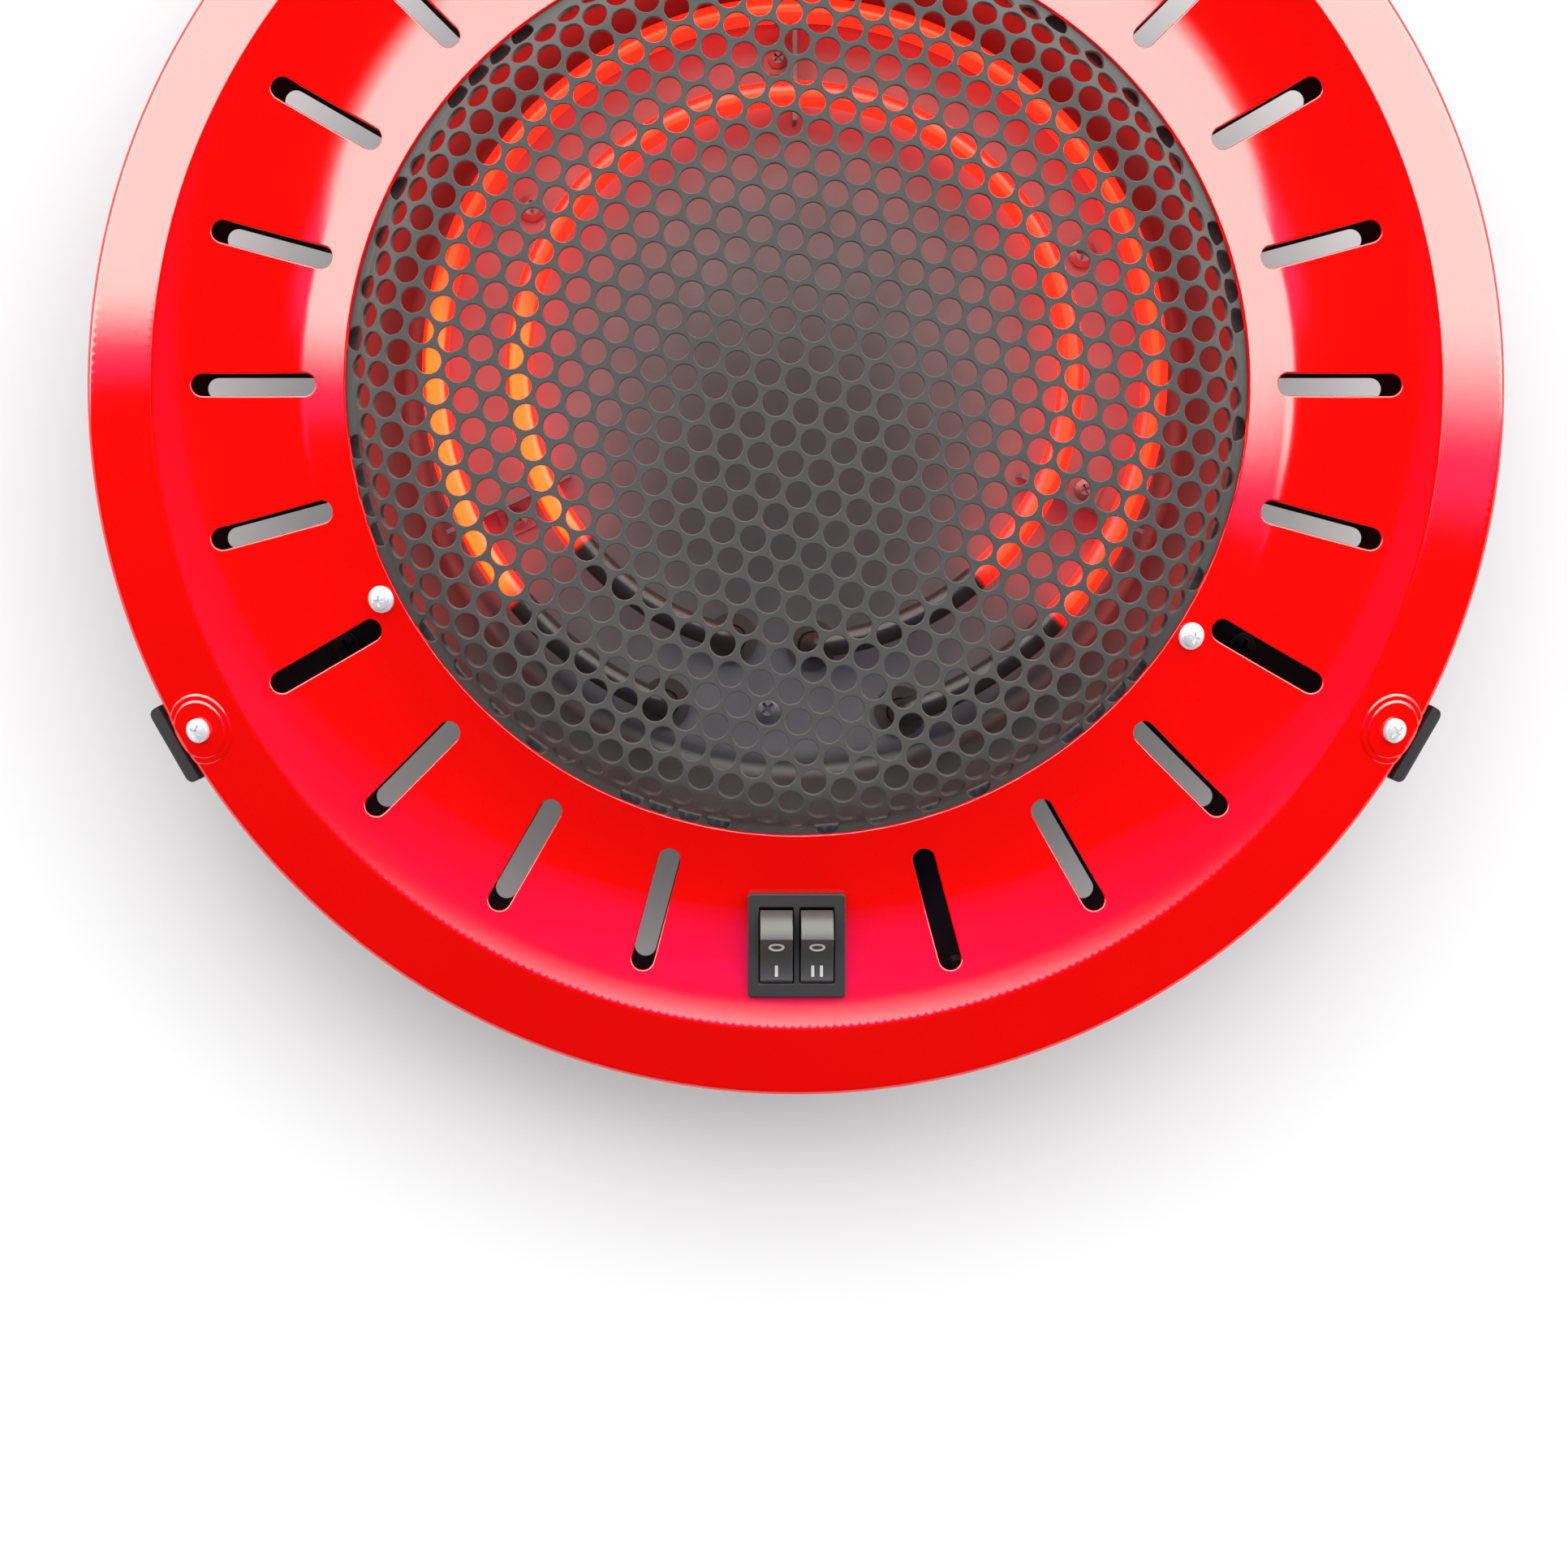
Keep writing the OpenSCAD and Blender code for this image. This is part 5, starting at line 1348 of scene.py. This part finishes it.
class BRAZIER_OT_bowls(PieceOperator, bpy.types.Operator):
    """Builds the reflector and the slotted base pan"""
    bl_idname = "brazier.bowls"
    bl_label = "Reflector and pan"

    def execute(self, context):
        b = settings().bowl
        f = settings().foot
        w = settings().switch
        tails = [round_outline(x, y, 5.6 * MM, 24) for node in ("heater_inner", "heater_outer")
                 for x, y in tube_tails(node)]
        bowl = self.dished("reflector_bowl", reflector_path(), tails, 0.8 * MM, b.sheet, 0.15 * MM)
        dress(bowl, "bowl", nodes=["reflector"])

        path = pan_path()
        holes = slot_outlines(skip=(*FOOT_DIRECTIONS.values(), BOX_SLOT_DIRECTION))
        bay_far = w.centre + 9 * MM
        bay_near = w.centre - 24.4 * MM
        holes.append(box_outline(0.0, -(bay_far + bay_near) / 2, w.width + 0.2 * MM,
                                 bay_far - bay_near, 0.8 * MM))
        holes += screw_holes(f.arm_screw, FOOT_TURNS, 2.3 * MM, 16)
        holes = [hole.moved(path) for hole in holes]
        pan = self.dished("slotted_pan", path, holes, 0.9 * MM, b.pan_sheet, 0.25 * MM)
        dress(pan, "pan", nodes=["base_pan"])
        return {"FINISHED"}

    def dished(self, name, path, holes, gap, thickness, lip):
        """A round sheet whose points stay clear of its holes by the gap."""
        segments = 300
        flat_middle = 20 * MM
        inner = ring_points(path, holes, segments, gap, flat_middle)
        inner = np.concatenate([inner, [[0.0, 0.0]]])
        outer = round_outline(0.0, 0.0, path.columns()[0][-1], segments)
        return cut_sheet(name, path, thickness, outer, holes, inner, lip)


class BRAZIER_OT_feet(PieceOperator, bpy.types.Operator):
    """Builds the three moulded feet"""
    bl_idname = "brazier.feet"
    bl_label = "Feet"

    def execute(self, context):
        for node, direction in FOOT_DIRECTIONS.items():
            foot = self.foot(node + "_moulding")
            foot.data.transform(Matrix.Rotation(radians(direction), 4, "Z"))
            dress(foot, "plastic", nodes=[node])
        return {"FINISHED"}

    def foot(self, name):
        """A foot on the X axis: its column holds the rim, and its arm reaches below the pan."""
        f = settings().foot
        p = settings().plate
        path = plate_path()
        play = 0.3 * MM
        lip_bevel = 0.7 * MM
        out = p.rim_radius + f.reach
        column_in = out - f.column - 6 * MM
        lip_in = p.rim_radius + f.lip_gap
        lip_top = path.height_at(p.rim_radius) + 1.6 * MM
        skirt_in = p.rim_radius - p.thickness - play
        skirt_low = path.rows[-1][2] - play
        arm_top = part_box("wiring_box")[1][2]
        arm_low = arm_top - f.arm_depth
        arm_end = f.arm_screw - 8 * MM
        flange_height = path.height_at(p.screw_radius)

        def under_flange(radius):
            return (flange_height + (p.screw_radius - radius) * tan(p.flange_slope)
                    - (p.thickness + play) / cos(p.flange_slope))

        side = [(column_in, 0.0), (out - 3 * MM, 0.0), (out, arm_low),
                (out, lip_top - 1 * MM), (out - 1 * MM, lip_top), (lip_in + lip_bevel, lip_top),
                (lip_in, lip_top - lip_bevel), (lip_in, skirt_low), (skirt_in, skirt_low),
                (skirt_in, under_flange(skirt_in) - 1.2 * MM),
                (skirt_in - 1.5 * MM, under_flange(skirt_in - 1.5 * MM)),
                (column_in, under_flange(column_in))]
        arm = [(arm_end, arm_top), (arm_end, arm_low), (column_in - 12 * MM, arm_low),
               (column_in + 1 * MM, arm_low - 16 * MM), (column_in + 1 * MM, arm_top)]
        upright = Matrix.Rotation(pi / 2, 4, "X")
        body = prism(name, side, -f.width / 2, f.width / 2, upright)
        inside = column_in - 20 * MM
        plan = box_outline((inside + out) / 2, 0.0, out - inside, f.width, f.corner, 2).points
        body = combine(body, prism("plan", plan, -10 * MM, 100 * MM), "INTERSECT")
        body = combine(body, prism("arm", arm, -f.arm_width / 2, f.arm_width / 2, upright), "UNION")
        return rounded(body, f.edge, 2, 40)


class BRAZIER_OT_switch(PieceOperator, bpy.types.Operator):
    """Builds the bezel, the housing and the two rockers with their marks"""
    bl_idname = "brazier.switch"
    bl_label = "Switch"

    def levels(self):
        """Heights of the bezel's top and of the rockers' axis."""
        w = settings().switch
        top = plate_path().height_at(w.centre - w.length / 2) + w.rise
        return top, top - sqrt(w.end_radius ** 2 - (w.slot_length / 2 - 0.3 * MM) ** 2)

    def execute(self, context):
        w = settings().switch
        self.housing()
        for node, body, side, strokes in (("rocker_left", "left_rocker", -1, 1),
                                          ("rocker_right", "right_rocker", 1, 2)):
            place = self.turned_place(side * w.rocker_pitch / 2)
            rocker = self.rocker(node + "_cap", place)
            dress(rocker, "rocker", body, [node])
            ink = self.marks(node + "_marks", place, strokes)
            dress(ink, "marks", body)
        return {"FINISHED"}

    def housing(self):
        """The bezel on the plate, the body below it and the body's floor."""
        w = settings().switch
        path = plate_path()
        top, _ = self.levels()
        bay = w.rocker_width + 2 * w.side_gap
        bays = [-w.rocker_pitch / 2, w.rocker_pitch / 2]
        outer = box_outline(0.0, -w.centre, w.width, w.length, 0.9 * MM)
        holes = [box_outline(x, -w.centre, bay, w.slot_length, 0.35 * MM) for x in bays]

        def underside(x, y):
            """The plate's face below the bezel, where it leaves the bezel thick enough."""
            return np.minimum(path.height_at(np.hypot(x, y)) + 0.04 * MM, top - 1.0 * MM)

        bezel = cut_sheet("bezel", FlatSheet(top), 1.1 * MM, outer, holes, (), 0.45 * MM,
                          under=underside)
        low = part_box("switch_housing")[0][2]
        body_width = w.width - 1.5 * MM
        body_length = w.length - 2.8 * MM
        outer = box_outline(0.0, -w.centre, body_width, body_length, 0.6 * MM)
        holes = [box_outline(x, -w.centre, bay, w.slot_length + 3 * MM, 0.3 * MM) for x in bays]
        body = cut_sheet("body", FlatSheet(top - 1.05 * MM), 17 * MM, outer, holes)
        across = body_width / 2 - 0.5 * MM
        along = body_length / 2 - 0.5 * MM
        floor = block("floor", (-across, -w.centre - along, low),
                      (across, -w.centre + along, low + 1.8 * MM))
        dress(join("switch_body", [bezel, body, floor]), "bezel",
              nodes=["switch_housing"])

    def turned_place(self, x):
        """Frame of a rocker at rest."""
        w = settings().switch
        _, pivot = self.levels()
        return Matrix.Translation((x, -w.centre, pivot)) @ Matrix.Rotation(w.tilt, 4, "X")

    def face(self, a):
        """Point of the hollow face at an angle from its middle."""
        w = settings().switch
        corner_y = w.end_radius * sin(w.corner)
        centre = w.end_radius * cos(w.corner) + sqrt(w.face_radius ** 2 - corner_y ** 2)
        return w.face_radius * sin(a), centre - w.face_radius * cos(a)

    def face_limit(self):
        """Angle from the hollow face's middle to its end."""
        w = settings().switch
        return asin(w.end_radius * sin(w.corner) / w.face_radius)

    def rocker(self, name, place):
        """Round ends about the pivot, with the hollow face between their corners."""
        w = settings().switch
        steps = 12
        limit = self.face_limit()
        reach = radians(80)
        end = [w.corner + (reach - w.corner) * i / steps for i in range(steps + 1)]
        outline = [around(w.end_radius, pi / 2 + a) for a in end[::-1]]
        outline += [self.face(limit * (i / steps - 1)) for i in range(1, 2 * steps)]
        outline += [around(w.end_radius, pi / 2 - a) for a in end]
        outline += [(9 * MM, -0.6 * MM), (4 * MM, -2.6 * MM), (-4 * MM, -2.6 * MM),
                    (-9 * MM, -0.6 * MM)]
        half = w.rocker_width / 2
        stand = Matrix(((0, 0, 1, 0), (1, 0, 0, 0), (0, 1, 0, 0), (0, 0, 0, 1)))
        cap = prism(name, outline, -half, half, place @ stand)
        return rounded(cap, 0.28 * MM, 3, 28)

    def marks(self, name, turn, strokes):
        """Raised ink: a ring near the raised end and upright strokes near the pressed end."""
        w = settings().switch
        rise = 0.035 * MM
        centre = self.face(0.0)[1] + w.face_radius

        class Face:
            def place(self, points):
                a = points[:, 1] / w.face_radius
                local = np.stack([points[:, 0], w.face_radius * np.sin(a),
                                  centre - w.face_radius * np.cos(a)], 1)
                normal = np.stack([np.zeros(len(a)), -np.sin(a), np.cos(a)], 1)
                spin = np.array(turn.to_3x3())
                return local @ spin.T + np.array(turn.translation), normal @ spin.T

        def ink(outer, holes=()):
            lifted = cut_sheet(name, Face(), rise, outer, holes)
            lift = Vector(Face().place(np.array([outer.points.mean(0)]))[1][0]) * rise
            lifted.data.transform(Matrix.Translation(lift))
            return lifted

        end = self.face_limit() * w.face_radius
        ring_y = end - 3.0 * MM
        stroke_y = 2.6 * MM - end
        parts = [ink(round_outline(0.0, ring_y, 2.1 * MM, 40, 0.66),
                     [round_outline(0.0, ring_y, 1.45 * MM, 40, 0.52)])]
        for k in range(strokes):
            x = (k - (strokes - 1) / 2) * 2.3 * MM
            parts.append(ink(box_outline(x, stroke_y, 0.8 * MM, 3.0 * MM, 0.15 * MM)))
        return join(name, parts)


class BRAZIER_OT_wiring(PieceOperator, bpy.types.Operator):
    """Builds the wiring box and its gland, and dresses the pieces inside"""
    bl_idname = "brazier.wiring"
    bl_label = "Wiring"

    def execute(self, context):
        low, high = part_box("wiring_box")
        wall = 2.0 * MM
        inset = 5.6 * MM
        boss_height = high[2] - low[2] - 1 * MM
        shell = block("shell", low, high)
        hollow = block("hollow", [value + wall for value in low],
                       (high[0] - wall, high[1] - wall, high[2] + wall))
        shell = combine(shell, hollow, "DIFFERENCE")
        gland_low, gland_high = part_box("cord_gland")
        through = (Matrix.Translation(((gland_low[0] + gland_high[0]) / 2, low[1],
                                       (gland_low[2] + gland_high[2]) / 2))
                   @ Matrix.Rotation(pi / 2, 4, "X"))
        hole = turned("hole", [(0.0, -5 * MM), (6.55 * MM, -5 * MM), (6.55 * MM, 5 * MM),
                               (0.0, 5 * MM)], through)
        shell = rounded(combine(shell, hole, "DIFFERENCE"), 0.8 * MM, 3, 40)
        section = [(0.0, 0.0), (4.1 * MM, 0.0), (4.1 * MM, boss_height), (0.0, boss_height)]
        bosses = [turned("boss", section, Matrix.Translation((x, y, low[2] + 1 * MM)))
                  for x in (low[0] + inset, high[0] - inset)
                  for y in (low[1] + inset, high[1] - inset)]
        dress(join("wiring_box_moulding", [shell] + bosses), "box_plastic",
              nodes=["wiring_box"])
        section = [(3.6, -5.0), (6.3, -5.0), (6.5, -4.8), (6.5, 0.0), (7.4, 0.05), (8.0, 0.5),
                   (8.0, 2.2), (7.6, 2.85), (6.9, 3.05), (4.4, 3.05), (3.8, 2.8), (3.6, 2.3)]
        gland = turned("gland_moulding", [(r * MM, z * MM) for r, z in section], through, 64)
        dress(gland, "rubber", nodes=["cord_gland"])
        plain = {
            "grille_nuts": "zinc", "reflector_screws": "dull_zinc",
            "reflector_spacers": "zinc", "reflector_nuts": "zinc",
            "heater_bushes": "dark_ceramic", "heater_pins": "zinc",
            "tube_supports": "dull_steel", "support_screws": "dull_zinc", "support_nuts": "zinc",
            "plunger_left": "pale_plastic", "plunger_right": "pale_plastic",
            "plunger_spring_left": "steel", "plunger_spring_right": "steel",
            "contact_lever_left": "brass", "contact_lever_right": "brass",
            "common_terminal": "brass", "switched_terminals": "brass", "box_screws": "pan",
            "cord_clamp": "pale_plastic", "clamp_screws": "zinc", "terminal_block": "ceramic",
            "block_screws": "zinc", "thermal_cutout": "phenolic", "cutout_bracket": "steel",
            "cutout_screw": "zinc", "earth_screw": "brass", "earth_nut": "brass",
            "lead_supply": "lead_brown", "lead_switch": "lead_brown", "lead_inner": "lead_white",
            "lead_outer": "lead_white", "lead_link": "lead_blue", "lead_neutral": "lead_blue",
            "lead_earth": "lead_green",
        }
        for node, finish_name in plain.items():
            dress_node(node, finish_name)
        return {"FINISHED"}


class BRAZIER_OT_stage(PieceOperator, bpy.types.Operator):
    """Builds the floor, the light and the camera"""
    bl_idname = "brazier.stage"
    bl_label = "Floor, light and camera"

    def execute(self, context):
        half = 4.0
        mesh = bpy.data.meshes.new("floor")
        mesh.from_pydata([(-half, -half, 0), (half, -half, 0), (half, half, 0), (-half, half, 0)],
                         [], [(0, 1, 2, 3)])
        floor = new_object("floor", mesh)
        paper = bpy.data.materials.new("pale floor")
        paper.use_nodes = True
        shader = paper.node_tree.nodes["Principled BSDF"]
        shader.inputs["Base Color"].default_value = tuple(settings().stage.floor) + (1.0,)
        shader.inputs["Roughness"].default_value = 0.9
        shader.inputs["Specular IOR Level"].default_value = 0.0
        mesh.materials.append(paper)
        self.world()
        self.cards()
        self.camera()
        context.scene.view_settings.view_transform = "Standard"
        return {"FINISHED"}

    def window(self, tree, ahead, right):
        """How much of the window shows at a place in the sky, and of the violet blur below it.

        Its lower edge dips on both sides, less so farther out, and is blurred most there."""
        edge, arch = 0.38, 0.02
        far_out = 1.1, 1.35
        right_dip = 0.93, 1.03, 0.50, 0.28
        left_dip = 0.90, 1.00, 0.24, 0.10
        edge_blur, middle_blur, side_blur, far_blur = 0.06, 0.07, 0.04, 0.14
        fringe_reach, fringe_near = 2.0, 0.15
        left = maths(tree, "MULTIPLY", right, -1.0)
        aside = maths(tree, "ABSOLUTE", right)

        def dip(side, start, end, deep, far):
            less = maths(tree, "MULTIPLY", ramp(tree, side, *far_out), deep - far)
            return maths(tree, "MULTIPLY", ramp(tree, side, start, end),
                         maths(tree, "SUBTRACT", deep, less))

        lower = maths(tree, "ADD", dip(right, *right_dip), dip(left, *left_dip))
        middle = maths(tree, "SUBTRACT", 1.0, ramp(tree, aside, 0.4, 0.65))
        past_edge = maths(tree, "ADD", maths(tree, "SUBTRACT", ahead, edge), lower)
        past_edge = maths(tree, "SUBTRACT", past_edge, maths(tree, "MULTIPLY", middle, arch))
        blur = weighted(tree, (ramp(tree, aside, 0.9, 1.0), side_blur),
                        (ramp(tree, right, *far_out), far_blur), (middle, middle_blur))
        blur = maths(tree, "ADD", blur, edge_blur)
        shown = ramp(tree, maths(tree, "DIVIDE", past_edge, blur), -1.0, 1.0)
        near = maths(tree, "SUBTRACT", 1.0, ramp(tree, aside, 0.95, 1.05))
        reach = weighted(tree, (blur, fringe_reach), (near, fringe_near))
        fringe = maths(tree, "MULTIPLY", ramp(tree, aside, 0.5, 0.8),
                       ramp(tree, maths(tree, "DIVIDE", past_edge, reach), -1.0, -0.6))
        return shown, maths(tree, "MULTIPLY", fringe, maths(tree, "SUBTRACT", 1.0, shown))

    def world(self):
        """Even light, with one large soft light high up behind the object."""
        horizon = 0.02
        dim_gloss = 0.02
        soft_start, soft_full = 0.1, 0.5
        plain_white = (1.0, 1.0, 1.0, 1.0)
        warm_white = (1.0, 0.98, 0.92, 1.0)
        fringe_blue = (0.05, 0.25, 1.0, 1.0)
        t = settings().stage
        world = bpy.data.worlds.new("studio")
        bpy.context.scene.world = world
        world.use_nodes = True
        tree = world.node_tree
        back = tree.nodes["Background"]
        x, y, z = coordinates(tree, "Generated")
        up = maths(tree, "MAXIMUM", z, horizon)
        ahead = maths(tree, "DIVIDE", y, up)
        right = maths(tree, "DIVIDE", x, up)
        window, fringe = self.window(tree, ahead, right)
        soft = weighted(tree, (ahead, cos(t.soft_turn)), (right, sin(t.soft_turn)))

        ray = add_node(tree, "ShaderNodeLightPath", (-900, 500))
        glossy_ray = ray.outputs["Is Glossy Ray"]
        glossy = maths(tree, "ADD", maths(tree, "MULTIPLY", window, t.shine), dim_gloss)
        diffuse = maths(tree, "MULTIPLY", ramp(tree, soft, soft_start, soft_full), t.soft_light)
        diffuse = maths(tree, "ADD", diffuse, t.plain_light)
        level = add_node(tree, "ShaderNodeMix", (-300, 0), data_type="FLOAT")
        for value, socket in ((glossy_ray, "Factor"), (diffuse, "A"), (glossy, "B")):
            feed(tree, value, level.inputs[socket])
        wire(tree, (level, "Result", back, "Strength"))
        tone = mix(tree, (-300, 200), glossy_ray, plain_white, warm_white)
        tree.links.new(tone, back.inputs["Color"])
        violet = add_node(tree, "ShaderNodeBackground", (-100, -300), {"Color": fringe_blue})
        shown = maths(tree, "MULTIPLY", glossy_ray, t.violet)
        tree.links.new(maths(tree, "MULTIPLY", fringe, shown), violet.inputs["Strength"])
        both = add_node(tree, "ShaderNodeAddShader", (200, 0))
        white = add_node(tree, "ShaderNodeBackground", (200, -300),
                         {"Color": plain_white, "Strength": 1.0})
        seen = add_node(tree, "ShaderNodeMixShader", (400, 0))
        wire(tree, (back, 0, both, 0), (violet, 0, both, 1), (both, 0, seen, 1),
             (white, 0, seen, 2), (ray, "Is Camera Ray", seen, "Fac"),
             (seen, 0, tree.nodes["World Output"], "Surface"))

    def cards(self):
        """A violet card above the dish in soft-edged layers, which only gloss shows."""
        layers = 5
        first_scale, scale_step = 0.25, 0.27
        width, depth = 0.20, 0.25
        ahead, height, height_step = -0.125, 0.40, 4 * MM
        for i in range(layers):
            scale = first_scale + scale_step * i
            data = bpy.data.lights.new("violet card", "AREA")
            data.shape = "ELLIPSE"
            data.size = width * scale
            data.size_y = depth * scale
            data.color = (0.03, 0.07, 1.0)
            data.energy = settings().stage.card_power * scale ** 2 / layers
            card = bpy.data.objects.new("violet card", data)
            card.location = (0.0, ahead, height + height_step * i)
            card.visible_diffuse = False
            card.visible_camera = False
            card.visible_transmission = False
            bpy.context.collection.objects.link(card)

    def camera(self):
        """Straight above, framed as the photograph is."""
        t = settings().stage
        photo_width = 1932
        photo_rim_pixels = 872
        rim_x, rim_y = 980.5, 476.0
        rim_height = 0.060
        rim_radius = settings().plate.rim_radius
        pixel = rim_radius / photo_rim_pixels
        reach = photo_rim_pixels * (t.eye_height - rim_height) / rim_radius
        data = bpy.data.cameras.new("camera")
        data.sensor_fit = "HORIZONTAL"
        data.sensor_width = 36.0
        data.lens = data.sensor_width * reach / photo_width
        nadir_x = rim_x + t.eye_x / pixel
        nadir_y = rim_y - t.eye_y / pixel
        data.shift_x = -(nadir_x - photo_width / 2) / photo_width
        data.shift_y = (nadir_y - photo_width / 2) / photo_width
        data.clip_end = 20.0
        camera = bpy.data.objects.new("camera", data)
        camera.location = (t.eye_x, t.eye_y, t.eye_height)
        bpy.context.collection.objects.link(camera)
        bpy.context.scene.camera = camera


class BrazierSettings(bpy.types.PropertyGroup):
    plate: PointerProperty(type=PlateSizes)
    grille: PointerProperty(type=GrilleSizes)
    heater: PointerProperty(type=HeaterSizes)
    bowl: PointerProperty(type=BowlSizes)
    switch: PointerProperty(type=SwitchSizes)
    foot: PointerProperty(type=FootSizes)
    finishes: PointerProperty(type=Finishes)
    stage: PointerProperty(type=StageSettings)


OPERATORS = (BRAZIER_OT_stage, BRAZIER_OT_plate, BRAZIER_OT_grille, BRAZIER_OT_screws,
             BRAZIER_OT_heaters, BRAZIER_OT_bowls, BRAZIER_OT_feet, BRAZIER_OT_switch,
             BRAZIER_OT_wiring)


class BRAZIER_PT_sidebar(bpy.types.Panel):
    """Lists the brazier's pieces"""
    bl_idname = "BRAZIER_PT_sidebar"
    bl_label = "Electric brazier"
    bl_space_type = "VIEW_3D"
    bl_region_type = "UI"
    bl_category = "Brazier"

    def draw(self, context):
        for operator in OPERATORS:
            self.layout.operator(operator.bl_idname)


CLASSES = (PlateSizes, GrilleSizes, HeaterSizes, BowlSizes, SwitchSizes, FootSizes, Finishes,
           StageSettings, BrazierSettings) + OPERATORS + (BRAZIER_PT_sidebar,)


def register():
    for cls in CLASSES:
        bpy.utils.register_class(cls)
    bpy.types.Scene.brazier = PointerProperty(type=BrazierSettings)


def unregister():
    del bpy.types.Scene.brazier
    for cls in reversed(CLASSES):
        bpy.utils.unregister_class(cls)


def main():
    register()
    for operator in OPERATORS:
        group, call = operator.bl_idname.split(".")
        getattr(getattr(bpy.ops, group), call)()
    bpy.context.view_layer.update()


if __name__ == "__main__":
    main()
